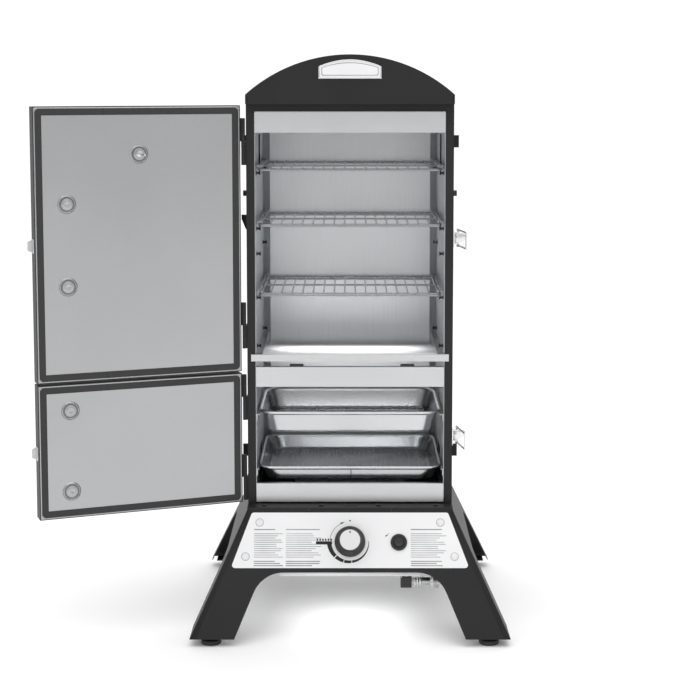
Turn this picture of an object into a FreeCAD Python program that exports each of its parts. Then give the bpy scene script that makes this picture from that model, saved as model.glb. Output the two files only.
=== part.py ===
import FreeCAD, Part
import os
import re
import Sketcher
from FreeCAD import Placement, Rotation, Vector

# Gas-fired cabinet smoker.  +Z up, floor at Z = 0, front faces -Y, door hinges on -X.
# Every driving size is a cell of the sheet "dim"; the features are bound to it.
SIZES = {
    # cabinet
    "cabinet_width": 422, "cabinet_front": -162, "cabinet_back": 203,
    "cabinet_floor": 261, "frame_top": 1086, "panel_sheet": 1.2, "frame_width": 16.5,
    "liner_sheet": 0.8, "chamber_half": 193.2, "chamber_back": 184, "chamber_roof": 1070,
    "corner_cut": 14, "bar_half": 193, "bar_depth": 12, "header_low": 1071.5,
    "top_bar_low": 1028, "top_bar_high": 1069.5, "middle_bar_low": 506,
    "middle_bar_high": 547, "bottom_bar_low": 264.2, "bottom_bar_high": 303,
    # hood
    "front_face": -198, "hood_half": 210, "hood_shoulder": 1105, "hood_rise": 80,
    "badge_half": 62.9, "badge_low": 1136.7, "badge_side": 1160, "badge_top": 1174.9,
    # doors, in the closed place
    "door_left": -211, "door_right": 209, "door_rear": -166, "upper_door_low": 539,
    "upper_door_high": 1083, "lower_door_low": 265, "lower_door_high": 535,
    "gasket_width": 14.5, "gasket_inset": 4, "gasket_depth": 1.5, "open_angle": 158.8,
    "handle_x": 145, "handle_gap": 36, "handle_radius": 11, "handle_pitch": 163,
    "upper_handle_z": 810.5, "lower_handle_z": 400.5, "handle_overhang": 38,
    "gauge_x": -1, "gauge_z": 988, "gauge_radius": 38, "gauge_depth": 15,
    # hinges
    "hinge_x": -216.5, "hinge_y": -164, "knuckle_radius": 4, "pin_radius": 2.45,
    "hinge_height": 95, "leaf_depth": 30, "leaf_sheet": 2.1,
    "hinge_1": 1010, "hinge_2": 634, "hinge_3": 485, "hinge_4": 317,
    # latches
    "latch_1": 810.5, "latch_2": 397.5, "pivot_x": 219, "pivot_y": -130,
    "lever_reach": 34, "bail_arm": 9, "bail_x": 216, "bail_y": -188.5, "wire": 2,
    "bail_half": 16, "lever_open": 30, "bail_open": 12.54,
    "strike_reach": 11, "strike_half": 13.5, "strike_front": -186,
    # dampers
    "damper_y": 14, "damper_high": 1004, "damper_low": 335, "damper_radius": 43.5,
    "vent_radius": 11, "vent_ring": 24, "damper_reach": 21, "pivot_radius": 3,
    # racks
    "rack_1": 951, "rack_2": 836.5, "rack_3": 693, "rack_half": 186, "rack_front": -145,
    "rack_back": 175, "rack_corner": 8, "rack_wire": 1.9, "bar_wire": 1.4,
    "bar_pitch": 21.8, "rail_lift": 8, "bolt_radius": 5, "bolt_drop": 7.2,
    "bolt_reach": 9, "bolt_front": -120, "bolt_back": 130, "spare_bolt": 777,
    "tray_bolt": 585,
    # drip tray and pans
    "tray_half": 181, "tray_top": 574, "tray_flat": 111, "tray_fall": 42, "tray_back": 150,
    "tray_lip_half": 203, "tray_lip_drop": 15, "tray_sheet": 1, "tray_rise": 12,
    "rail_sheet": 1.5, "rail_wall": 14, "rail_gap": 0.7, "stop_left": -124, "stop_right": 104,
    "stop_width": 28, "stop_height": 5,
    "chip_rim": 449, "chip_half": 186, "chip_deep": 42, "chip_front": -150, "chip_back": 124,
    "water_rim": 334, "water_half": 188, "water_deep": 29, "water_front": -152,
    "water_back": 172, "pan_taper": 14, "pan_sheet": 1, "rim_radius": 3,
    # base
    "base_top": 256, "base_foot": 16, "front_flare": 100, "rear_flare": 95,
    "side_flare": 112, "base_sheet": 1.5, "leg_inner": 233, "arch_top": 139,
    "arch_corner": 178.6, "arch_radius": 65, "side_arch_top": 158, "side_leg_inner": 208,
    "side_arch_corner": 156, "rear_leg_inner": 265, "rear_arch_corner": 200,
    "foot_x": 281, "foot_y": 272, "foot_radius": 20.5, "bracket_half": 30,
    "bracket_deep": 17, "bracket_sheet": 3, "deck_hole": 120, "ledge_y": -180,
    "ledge_slot": 14, "ledge_pitch": 118,
    # control panel, distances down the sloping front
    "plate_top": 5.4, "plate_low": 118, "plate_half_top": 201, "plate_half_low": 242.5,
    "knob_down": 65, "knob_radius": 31.4, "cap_radius": 20.6, "knob_height": 32,
    "stem_radius": 4, "rivet_top": 185, "rivet_high": 25.7, "rivet_low": 213,
    "rivet_down": 95, "igniter_x": 99.7, "igniter_radius": 16.5, "button_radius": 9.7,
    # gas train
    "burner_radius": 70, "burner_y": 15, "burner_z": 200, "inlet_x": 106, "inlet_y": -155,
    "inlet_z": 93, "valve_y": -204.5, "valve_side": 17.2, "pipe_z": 186, "pipe_turn": 45,
    "pipe_radius": 5, "inlet_bore": 6.5, "shield_half": 145, "shield_front": -238,
    "shield_back": 130, "shield_low": 130, "shield_rise": 22, "shield_sheet": 1.2,
    "electrode_x": 86, "electrode_y": -40, "venturi_front": -170, "venturi_radius": 7.5,
    "venturi_bore": 5.5, "tamer_half": 95, "tamer_front": -65, "tamer_back": 95,
    "tamer_drop": 9, "tamer_fall": 12,
}

doc = FreeCAD.newDocument("cabinet_smoker")
sheet = doc.addObject("Spreadsheet::Sheet", "dim")
for row, (alias, size) in enumerate(SIZES.items(), start=1):
    sheet.set(f"A{row}", alias)
    sheet.set(f"B{row}", str(size))
    sheet.setAlias(f"B{row}", alias)
doc.recompute()

FUNCTIONS = ("sqrt", "atan", "cos", "sin")
TURN_TO = {"x": Rotation(Vector(0, 1, 0), 90), "y": Rotation(Vector(1, 0, 0), -90),
           "z": Rotation()}
PLANES = {"x": "YZ_Plane", "y": "XZ_Plane", "z": "XY_Plane"}
pieces = []


def formula(text):
    """Turn the aliases in a text into references to the sheet."""
    def refer(match):
        word = match.group(0)
        return word if word in FUNCTIONS else "dim." + word
    return re.sub(r"[A-Za-z_]\w*", refer, str(text))


def number(text):
    """Value of a text that is written with aliases."""
    return float(sheet.evalExpression(formula(text)))


def bind(thing, prop, text):
    thing.setExpression(prop, formula(text))


def piece(label, placement=None):
    """Body of a sub-part, with its own label and place; a group of pieces shares one."""
    for body in pieces:
        if body.Label == label:
            return body
    body = doc.addObject("PartDesign::Body", label)
    body.AllowCompound = True
    if placement:
        body.Placement = placement
    pieces.append(body)
    return body


def primitive(body, kind, base, sizes, turn=None, cut=False):
    """Add a primitive to a body, or cut it away, at a place in the body's frame."""
    verb = "Subtractive" if cut else "Additive"
    feature = body.newObject(f"PartDesign::{verb}{kind}", kind)
    for prop, text in sizes.items():
        bind(feature, prop, text)
    if turn:
        feature.Placement = Placement(Vector(), turn)
    for axis, text in zip("xyz", base):
        bind(feature, "Placement.Base." + axis, text)
    return feature


def block(body, low, high, cut=False):
    """Box between two corners."""
    spans = [f"({b}) - ({a})" for a, b in zip(low, high)]
    sizes = dict(zip(("Length", "Width", "Height"), spans))
    return primitive(body, "Box", low, sizes, None, cut)


def rod(body, start, length, radius, along="z", cut=False):
    """Cylinder from a point along +X, +Y or +Z."""
    sizes = {"Height": length, "Radius": radius}
    return primitive(body, "Cylinder", start, sizes, TURN_TO[along], cut)


def cone(body, start, length, radius, top_radius, along="z", cut=False):
    sizes = {"Height": length, "Radius1": radius, "Radius2": top_radius}
    return primitive(body, "Cone", start, sizes, TURN_TO[along], cut)


def ball(body, centre, radius):
    return primitive(body, "Sphere", centre, {"Radius": radius})


def outline_sketch(body, axis, outline, level):
    """Closed outline across an axis; an entry is a point, or a point with the middle
    and the radius of the arc that leads to it."""
    sketch = body.newObject("Sketcher::SketchObject", "outline")
    origin = body.Origin.OriginFeatures
    plane = [item for item in origin if item.Role == PLANES[axis]][0]
    sketch.AttachmentSupport = [(plane, "")]
    sketch.MapMode = "FlatFace"
    bind(sketch, "AttachmentOffset.Base.z", level)
    points = [Vector(number(entry[0]), number(entry[1]), 0) for entry in outline]
    count = len(points)
    ends = []
    for index, entry in enumerate(outline):
        start = points[index - 1]
        if len(entry) == 2:
            sketch.addGeometry(Part.LineSegment(start, points[index]))
            ends.append((1, 2))
        else:
            middle = Vector(number(entry[2]), number(entry[3]), 0)
            arc = Part.ArcOfCircle(start, middle, points[index])
            edge = sketch.addGeometry(arc)
            forward = sketch.getPoint(edge, 1).distanceToPoint(start) < 0.001
            ends.append((1, 2) if forward else (2, 1))
    for index in range(count):
        after = (index + 1) % count
        sketch.addConstraint(
            Sketcher.Constraint("Coincident", index, ends[index][1], after, ends[after][0]))
    for index, entry in enumerate(outline):
        for kind, text, value in zip(("DistanceX", "DistanceY"), entry, points[index][:2]):
            rule = Sketcher.Constraint(kind, -1, 1, index, ends[index][1], value)
            place = sketch.addConstraint(rule)
            sketch.setExpression(f"Constraints[{place}]", formula(text))
        if len(entry) > 2:
            radius = sketch.addConstraint(
                Sketcher.Constraint("Radius", index, number(entry[4])))
            sketch.setExpression(f"Constraints[{radius}]", formula(entry[4]))
    return sketch


def profile(body, axis, outline, low, high, cut=False):
    """Prism of an outline, from one level to another along an axis."""
    level = f"-({high})" if axis == "y" else low
    sketch = outline_sketch(body, axis, outline, level)
    kind = "Pocket" if cut else "Pad"
    feature = body.newObject("PartDesign::" + kind, kind)
    feature.Profile = sketch
    bind(feature, "Length", f"({high}) - ({low})")
    if cut:
        feature.Reversed = True
    return feature


def round_edges(body, radius, chosen):
    """Fillet the edges of the tip that a test picks by their middle point."""
    doc.recompute()
    tip = body.Tip
    names = []
    for index, edge in enumerate(tip.Shape.Edges, start=1):
        middle = edge.valueAt((edge.FirstParameter + edge.LastParameter) / 2)
        ends = edge.Vertexes[-1].Point - edge.Vertexes[0].Point
        if chosen(middle, ends):
            names.append(f"Edge{index}")
    fillet = body.newObject("PartDesign::Fillet", "Fillet")
    fillet.Base = (tip, names)
    bind(fillet, "Radius", radius)
    return fillet


def repeat(body, feature, axis, pitch, count):
    """Row of a feature along an axis of the body."""
    doc.recompute()
    row = body.newObject("PartDesign::LinearPattern", "Row")
    row.Originals = [feature]
    origin = body.Origin.OriginFeatures
    line = [item for item in origin if item.Role == axis.upper() + "_Axis"][0]
    row.Direction = (line, [""])
    row.Length = number(pitch) * (count - 1)
    bind(row, "Length", f"({pitch}) * {count - 1}")
    row.Occurrences = count
    body.Tip = row
    return row


def mirror_place(side):
    """Places on the left are the right-hand ones turned half round about Z."""
    return Placement(Vector(), Rotation(Vector(0, 0, 1), 0 if side == "right" else 180))


def door_place():
    """Doors are drawn closed and stand open by the sheet's angle."""
    turn = Rotation(Vector(0, 0, 1), -number("open_angle"))
    return Placement(Vector(), turn, Vector(number("hinge_x"), number("hinge_y"), 0))


def slope_place(flare, edge, heading):
    """Frame on a sloping base panel: X along its top edge, Y up the slope, Z outward."""
    lean = number(f"atan({flare} / (base_top - base_foot))")
    turn = Rotation(Vector(0, 0, 1), heading) * Rotation(Vector(1, 0, 0), 90 - lean)
    outward = Rotation(Vector(0, 0, 1), heading).multVec(Vector(0, -number(edge), 0))
    return Placement(outward + Vector(0, 0, number("base_top")), turn)


# ---------------------------------------------------------------- cabinet shell

def side_panel(side):
    """Outer side with folded front frame and rear return, and three vents per damper."""
    half = "cabinet_width / 2"
    inside = f"{half} - panel_sheet"
    frame = f"{half} - frame_width"
    body = piece(side + "_side_panel", mirror_place(side))
    front = "cabinet_front" if side == "right" else "-cabinet_front"
    back = "cabinet_back" if side == "right" else "-cabinet_back"
    fold = "panel_sheet" if side == "right" else "-panel_sheet"
    outline = [(half, front), (half, back), (frame, back), (frame, f"{back} - {fold}"),
               (inside, f"{back} - {fold}"), (inside, f"{front} + {fold}"),
               (frame, f"{front} + {fold}"), (frame, front)]
    profile(body, "z", outline, "cabinet_floor", "frame_top")
    sign = "" if side == "right" else "-"
    for level in ("damper_high", "damper_low"):
        for along, up in (("0", "vent_ring"), ("-0.866 * vent_ring", "-vent_ring / 2"),
                          ("0.866 * vent_ring", "-vent_ring / 2")):
            rod(body, (f"{half} - 5", f"{sign}damper_y + {along}", f"{level} + {up}"),
                10, "vent_radius", "x", cut=True)
        rod(body, (f"{half} - 5", f"{sign}damper_y", level), 10, "pivot_radius + 0.1", "x",
            cut=True)
    return body


def liner_side(side):
    """Inner side wall with an air port behind each damper."""
    sign = 1 if side == "right" else -1
    body = piece("chamber_liners")
    low, high = sorted((sign * number("chamber_half"),
                        sign * number("chamber_half + liner_sheet")))
    near = "chamber_half" if sign > 0 else "-chamber_half - liner_sheet"
    far = "chamber_half + liner_sheet" if sign > 0 else "-chamber_half"
    block(body, (near, "cabinet_front + 1.5", "cabinet_floor + 2.5"),
          (far, "chamber_back - corner_cut - 0.5", "chamber_roof - 1"))
    for bottom, top in ((951, 1020), (272, 352)):
        block(body, (low - 1, "damper_y - 34", bottom), (high + 1, "damper_y + 34", top),
              cut=True)
    return body


def cabinet_shell():
    for side in ("left", "right"):
        side_panel(side)
        liner_side(side)
    inner = "cabinet_width / 2 - frame_width"
    block(piece("back_panel"), (f"-({inner}) + 0.3", "cabinet_back - panel_sheet",
                                "cabinet_floor"),
          (f"{inner} - 0.3", "cabinet_back", "frame_top"))
    wide = "chamber_half"
    narrow = "chamber_half - corner_cut"
    front = "chamber_back - corner_cut"
    outline = [(f"-({wide})", front), (f"-({narrow})", "chamber_back"),
               (narrow, "chamber_back"), (wide, front),
               (f"{wide} + liner_sheet", front),
               (f"{narrow} + liner_sheet / 2", "chamber_back + liner_sheet"),
               (f"-({narrow}) - liner_sheet / 2", "chamber_back + liner_sheet"),
               (f"-({wide}) - liner_sheet", front)]
    profile(piece("back_liner"), "z", outline, "cabinet_floor + 2.5", "chamber_roof - 1")
    block(piece("chamber_liners"), ("-chamber_half", "cabinet_front + 1.5", "chamber_roof - 0.5"),
          ("chamber_half", "chamber_back", "chamber_roof + 0.5"))


def crossbar(low, high):
    """Folded channel across the opening."""
    front = "cabinet_front"
    skin = "cabinet_front + panel_sheet"
    rear = "cabinet_front + bar_depth"
    outline = [(front, low), (rear, low), (rear, f"{low} + panel_sheet"),
               (skin, f"{low} + panel_sheet"), (skin, f"{high} - panel_sheet"),
               (rear, f"{high} - panel_sheet"), (rear, high), (front, high)]
    profile(piece("cross_bars"), "x", outline, "-bar_half", "bar_half")


def fixed_supports():
    """Shoulder bolts that carry the racks, and rails that carry the pans."""
    bolts = piece("rack_bolts")
    levels = [f"{name} - bolt_drop" for name in ("rack_1", "rack_2", "rack_3")]
    for level in levels + ["spare_bolt", "tray_bolt"]:
        for place in ("bolt_front", "bolt_back"):
            rod(bolts, ("chamber_half - bolt_reach", place, level), "bolt_reach",
                "bolt_radius", "x")
            rod(bolts, ("-chamber_half", place, level), "bolt_reach", "bolt_radius", "x")
    rails = piece("pan_rails")
    front, rear = "cabinet_front + 14", "chamber_back - 20"
    for top, half in (("chip_rim - rim_radius - 0.4", "chip_half + rail_gap"),
                      ("water_rim - rim_radius - 0.4", "water_half + rail_gap"),
                      ("tray_top - tray_sheet - 0.2", "tray_half + tray_sheet + rail_gap")):
        for near, far, wall in ((half, "chamber_half", "chamber_half - rail_sheet"),
                                ("-chamber_half", f"-({half})", "-chamber_half")):
            block(rails, (near, front, f"{top} - rail_sheet"), (far, rear, top))
            block(rails, (wall, front, f"{top} - rail_wall"), (f"{wall} + rail_sheet", rear, top))
    stops = piece("cross_bars")
    for left in ("stop_left", "stop_right"):
        block(stops, (left, "cabinet_front + 2", "middle_bar_high"),
              (f"{left} + stop_width", "cabinet_front + 10", "middle_bar_high + stop_height"))


# ---------------------------------------------------------------- hood

def arch(half, shoulder, rise):
    """Top outline of the hood: shoulders joined by one arc."""
    radius = f"(({half}) * ({half}) + ({rise}) * ({rise})) / (2 * ({rise}))"
    return [(half, shoulder), (f"-({half})", shoulder, 0, f"{shoulder} + {rise}", radius)]


def hood():
    half = "hood_half"
    front = piece("hood_front")
    lower = [(f"-{half}", "frame_top"), (half, "frame_top")]
    profile(front, "y", lower + arch(half, "hood_shoulder", "hood_rise"),
            "front_face", "front_face + panel_sheet")
    block(front, (f"-{half}", "front_face", "frame_top"),
          (half, "cabinet_front", "frame_top + panel_sheet"))
    block(front, (f"-{half}", "cabinet_front - panel_sheet", "header_low"),
          (half, "cabinet_front", "frame_top + panel_sheet"))
    for edge in (-206.5, 205.5):
        block(front, (edge, "front_face - 1", "frame_top + 5"),
              (edge + 1, "front_face + 5", "frame_top + 15"), cut=True)
    roof = piece("hood_roof")
    profile(roof, "y", lower + arch(half, "hood_shoulder", "hood_rise"),
            "cabinet_back - panel_sheet", "cabinet_back")
    lower = [(f"-{half}", "frame_top + 1.3"), (half, "frame_top + 1.3")]
    profile(roof, "y", lower + arch(half, "hood_shoulder", "hood_rise"),
            "front_face + panel_sheet", "cabinet_back - panel_sheet")
    inner = "hood_half - panel_sheet"
    lower = [(f"-({inner})", "frame_top"), (inner, "frame_top")]
    profile(roof, "y", lower + arch(inner, "hood_shoulder", "hood_rise - panel_sheet"),
            "front_face", "cabinet_back - panel_sheet", cut=True)
    badge = piece("badge_plate")
    lower = [("-badge_half", "badge_low"), ("badge_half", "badge_low")]
    profile(badge, "y", lower + arch("badge_half", "badge_side", "badge_top - badge_side"),
            "front_face - 1.5", "front_face")


# ---------------------------------------------------------------- doors

def door(name, low, high, handle_z, latch_z, hinges, gauge):
    """One door: shell pan, inner panel, gasket, handle, bosses, strike and hinge leaves."""
    place = door_place()
    shell = piece(name + "_shell", place)
    block(shell, ("door_left", "front_face", low), ("door_right", "door_rear", high))
    block(shell, ("door_left + panel_sheet", "front_face + panel_sheet", f"{low} + panel_sheet"),
          ("door_right - panel_sheet", "door_rear + 1", f"{high} - panel_sheet"), cut=True)
    posts = [f"{handle_z} + handle_pitch / 2", f"{handle_z} - handle_pitch / 2"]
    panel = piece(name + "_inner_panel", place)
    gap = "(panel_sheet + 0.3)"
    block(panel, (f"door_left + {gap}", "door_rear - panel_sheet", f"{low} + {gap}"),
          (f"door_right - {gap}", "door_rear", f"{high} - {gap}"))
    for level in posts:
        cone(panel, ("handle_x", "door_rear", level), 1.8, 17, 13, "y")
    if gauge:
        cone(panel, ("gauge_x", "door_rear", "gauge_z"), 1.8, 17, 13, "y")
        rod(panel, ("gauge_x", "door_rear - 10", "gauge_z"), 20, 4, "y", cut=True)
        rod(shell, ("gauge_x", "front_face - 5", "gauge_z"), 20, 4, "y", cut=True)
    for level in posts:
        rod(panel, ("handle_x", "door_rear - 10", level), 20, 3.2, "y", cut=True)
        rod(shell, ("handle_x", "front_face - 5", level), 10, 3.2, "y", cut=True)
    seal = piece(name + "_gasket", place)
    edge = "gasket_inset"
    inner = "gasket_inset + gasket_width"
    block(seal, (f"door_left + {edge}", "door_rear", f"{low} + {edge}"),
          (f"door_right - {edge}", "door_rear + gasket_depth", f"{high} - {edge}"))
    block(seal, (f"door_left + {inner}", "door_rear - 1", f"{low} + {inner}"),
          (f"door_right - ({inner})", "door_rear + 5", f"{high} - ({inner})"), cut=True)
    handle = piece(name + "_handle", place)
    for level in posts:
        rod(handle, ("handle_x", "door_rear + 1.8", level), 1.5, 8, "y")
        rod(handle, ("handle_x", "door_rear + 3.3", level), 4, 5, "y")
        rod(handle, ("handle_x", "front_face - 12", level), 44, 3, "y")
        rod(handle, ("handle_x", "front_face - handle_gap", level), "handle_gap", 8, "y")
    rod(handle, ("handle_x", "front_face - handle_gap - handle_radius / 2",
                 f"{handle_z} - handle_pitch / 2 - handle_overhang"),
        "handle_pitch + 2 * handle_overhang", "handle_radius")
    round_edges(handle, 4, lambda middle, ends: middle.y < number("front_face - handle_gap")
                and ends.Length < 0.01 and
                abs(abs(middle.z - number(handle_z)) -
                    number("handle_pitch / 2 + handle_overhang")) < 1)
    fittings = piece(name + "_fittings", place)
    block(fittings, ("door_right", "strike_front - 6", f"{latch_z} - strike_half"),
          ("door_right + 1.5", "strike_front + 14", f"{latch_z} + strike_half"))
    wide, slim, reach = "strike_half", "strike_half - 5", "door_right + strike_reach"
    profile(fittings, "y", [("door_right", f"{latch_z} - {wide}"),
                          (reach, f"{latch_z} - ({slim})"), (reach, f"{latch_z} + {slim}"),
                          ("door_right", f"{latch_z} + {wide}")],
            "strike_front", "strike_front + 2")
    for level in hinges:
        block(fittings, ("hinge_x + 3.3", "hinge_y - leaf_depth", f"{level} + 0.3"),
              ("hinge_x + 3.3 + leaf_sheet", "hinge_y", f"{level} + hinge_height / 2"))
        rod(fittings, ("hinge_x", "hinge_y", f"{level} + 0.3"), "hinge_height / 2 - 0.3",
            "knuckle_radius")
    for level in hinges:
        rod(fittings, ("hinge_x", "hinge_y", f"{level} - 5"), "hinge_height / 2 + 1",
            "pin_radius + 0.05", cut=True)


def thermometer():
    """Dial gauge on the upper door with a stem into the chamber."""
    place = door_place()
    front = "front_face - gauge_depth"
    case = piece("thermometer_case", place)
    rod(case, ("gauge_x", front, "gauge_z"), "gauge_depth", "gauge_radius", "y")
    rod(case, ("gauge_x", f"{front} - 1", "gauge_z"), 10, "gauge_radius - 4", "y", cut=True)
    rod(case, ("gauge_x", f"{front} + 9.5", "gauge_z"), "gauge_depth + 70", 2.5, "y")
    rod(case, ("gauge_x", "door_rear + 1.8", "gauge_z"), 5, 7, "y")
    lens = piece("thermometer_lens", place)
    rod(lens, ("gauge_x", f"{front} + 0.5", "gauge_z"), 1.5, "gauge_radius - 4.2", "y")
    needle = piece("thermometer_needle", place)
    rod(needle, ("gauge_x", f"{front} + 5", "gauge_z"), 2, 3, "y")
    block(needle, ("gauge_x - 1.2", f"{front} + 5.4", "gauge_z - 8"),
          ("gauge_x + 1.2", f"{front} + 6.4", "gauge_z + 27"))


def hinges():
    """Lower knuckles and leaves on the cabinet, and the pins that the doors lift off."""
    leaves = piece("cabinet_hinge_leaves")
    for level in ("hinge_1", "hinge_2", "hinge_3", "hinge_4"):
        block(leaves, ("hinge_x + 3.3", "hinge_y", f"{level} - hinge_height / 2"),
              ("hinge_x + 3.3 + leaf_sheet", "hinge_y + leaf_depth", level))
        rod(leaves, ("hinge_x", "hinge_y", f"{level} - hinge_height / 2"),
            "hinge_height / 2", "knuckle_radius")
        rod(leaves, ("hinge_x", "hinge_y", f"{level} - 30"), 60, "pin_radius")


# ---------------------------------------------------------------- latches

def latch(name, level):
    """Draw latch: base with lugs, lever on a pin, wire bail that hooks the door's strike."""
    base = piece("latch_bases")
    half = "cabinet_width / 2"
    block(base, (half, "pivot_y - 20", f"{level} - 17"),
          (f"{half} + 2", "pivot_y + 30", f"{level} + 17"))
    for low, high in ((-12.3, -10), (10, 12.3)):
        block(base, (f"{half} + 1", "pivot_y - 4", f"{level} + {low}"),
              ("pivot_x + 4", "pivot_y + 4", f"{level} + {high}"))
    rod(base, ("pivot_x", "pivot_y", f"{level} - 12.3"), 24.6, 2)
    pivot = Vector(number("pivot_x"), number("pivot_y"), 0)
    lever = piece(name + "_latch_lever",
                  Placement(Vector(), Rotation(Vector(0, 0, 1), -number("lever_open")), pivot))
    rod(lever, ("pivot_x", "pivot_y", f"{level} - 9.6"), 19.2, 4)
    block(lever, ("pivot_x - 1.2", "pivot_y", f"{level} - 9.6"),
          ("pivot_x + 1.2", "pivot_y + lever_reach - 8", f"{level} + 9.6"))
    profile(lever, "z", [("pivot_x - 1.2", "pivot_y + lever_reach - 8.5"),
                         ("pivot_x + 1.2", "pivot_y + lever_reach - 8.5"),
                         ("pivot_x + 5.2", "pivot_y + lever_reach"),
                         ("pivot_x + 2.8", "pivot_y + lever_reach")],
            f"{level} - 9.6", f"{level} + 9.6")
    rod(lever, ("pivot_x", "pivot_y + bail_arm", f"{level} - bail_half - 3"),
        "2 * bail_half + 6", "wire")
    rod(lever, ("pivot_x", "pivot_y", f"{level} - 15"), 30, 2.3, cut=True)
    turned = Rotation(Vector(0, 0, 1), -number("lever_open"))
    arm = Vector(0, number("bail_arm"), 0)
    shift = Placement(turned.multVec(arm) - arm, Rotation())
    swing = Placement(Vector(), Rotation(Vector(0, 0, 1), number("bail_open")), pivot + arm)
    bail = piece(name + "_latch_bail", shift * swing)
    eye_y = "pivot_y + bail_arm"
    lean = number(f"atan((pivot_x - bail_x) / ({eye_y} - bail_y))")
    reach = f"sqrt((pivot_x - bail_x)^2 + ({eye_y} - bail_y)^2)"
    for side in ("-bail_half", "bail_half"):
        rod(bail, ("pivot_x", eye_y, f"{level} + {side} - 1.7"), 3.4, 4)
        arm_rod = primitive(bail, "Cylinder", ("pivot_x", eye_y, f"{level} + {side}"),
                            {"Height": reach, "Radius": "wire"},
                            Rotation(Vector(0, 0, 1), -lean) * Rotation(Vector(1, 0, 0), 90))
        arm_rod.Label = name + "_arm"
        ball(bail, ("bail_x", "bail_y", f"{level} + {side}"), "wire")
    rod(bail, ("bail_x", "bail_y", f"{level} - bail_half"), "2 * bail_half", "wire")
    rod(bail, ("pivot_x", eye_y, f"{level} - 25"), 50, "wire + 0.05", cut=True)


# ---------------------------------------------------------------- dampers and side fittings

def damper(side, height, level):
    """Turning disc with three vents and a wing grip."""
    sign = "" if side == "right" else "-"
    middle = f"{sign}damper_y"
    face = "cabinet_width / 2 + 0.4"
    body = piece(f"{side}_{height}_damper", mirror_place(side))
    rod(body, (face, middle, level), 2, "damper_radius", "x")
    rod(body, (f"{face} + 2", middle, level), 6, 13, "x")
    block(body, (f"{face} + 2", f"{middle} - 3.5", f"{level} - 13"),
          ("cabinet_width / 2 + damper_reach", f"{middle} + 3.5", f"{level} + 13"))
    for along, up in (("0", "vent_ring"), ("-0.866 * vent_ring", "-vent_ring / 2"),
                      ("0.866 * vent_ring", "-vent_ring / 2")):
        rod(body, (f"{face} - 5", f"{middle} + {along}", f"{level} + {up}"), 10,
            "vent_radius - 1", "x", cut=True)
    rod(body, (f"{face} - 5", middle, level), 10, "pivot_radius + 0.05", "x", cut=True)


def side_fittings():
    pivots = piece("cabinet_screws")
    half = "cabinet_width / 2"
    for level in ("damper_high", "damper_low"):
        rod(pivots, (f"{half} - panel_sheet - 2", "damper_y", level), 7,
            "pivot_radius", "x")
        rod(pivots, (f"-({half}) + panel_sheet - 5", "damper_y", level), 7,
            "pivot_radius", "x")
    grommets = piece("side_fittings")
    rod(grommets, (half, -100, 901), 10, 6, "x")
    rod(grommets, (f"-({half}) - 10", -100, 901), 10, 6, "x")
    rod(grommets, (-230, -100, 901), 460, 2.5, "x", cut=True)
    hook = piece("side_fittings")
    block(hook, (f"-({half}) - 2", -76, 806), (f"-({half})", -46, 874))
    profile(hook, "y", [(f"-({half}) - 1", 823), (f"-({half}) - 1", 853), (-227, 853),
                        (-227, 845), (-218, 823)], -68, -54)
    screws = piece("cabinet_screws")
    for level in (812, 868):
        rod(screws, (f"-({half}) - 5", -61, level), 3, 5, "x")


# ---------------------------------------------------------------- racks, tray and pans

def rack(label, level):
    """Welded wire rack: rounded frame, sixteen long wires, cross wires, raised rails."""
    body = piece(label)
    half, turn = "rack_half", "rack_corner"
    wide = f"2 * ({half} - {turn})"
    deep = f"rack_back - rack_front - 2 * {turn}"
    for edge in ("rack_front", "rack_back"):
        rod(body, (f"-{half} + {turn}", edge, level), wide, "rack_wire", "x")
    for edge in (f"-{half}", half):
        rod(body, (edge, f"rack_front + {turn}", level), deep, "rack_wire", "y")
    corners = ((f"{half} - {turn}", f"rack_back - {turn}", 0),
               (f"-{half} + {turn}", f"rack_back - {turn}", 90),
               (f"-{half} + {turn}", f"rack_front + {turn}", 180),
               (f"{half} - {turn}", f"rack_front + {turn}", 270))
    for across, along, angle in corners:
        primitive(body, "Torus", (across, along, level),
                  {"Radius1": turn, "Radius2": "rack_wire", "Angle3": 90},
                  Rotation(Vector(0, 0, 1), angle))
    for place in (31, 180, 289):
        rod(body, (f"-{half}", f"rack_front + {place}", level), f"2 * {half}", 2, "x")
    for side in (-1, 1):
        for edge, inset in ((half, -2), (half, 5)):
            across = f"{side} * ({edge} - ({inset}))"
            rod(body, (across, "rack_front + 4", f"{level} + rail_lift"),
                "rack_back - rack_front - 8", 1.8, "y")
            for place in (31, 180, 289):
                rod(body, (across, f"rack_front + {place}", level), "rail_lift", 1.5)
    first = rod(body, ("-7.5 * bar_pitch", "rack_front - 1", f"{level} + 3.2"),
                "rack_back - rack_front + 2", "bar_wire", "y")
    repeat(body, first, "x", "bar_pitch", 16)


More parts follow.
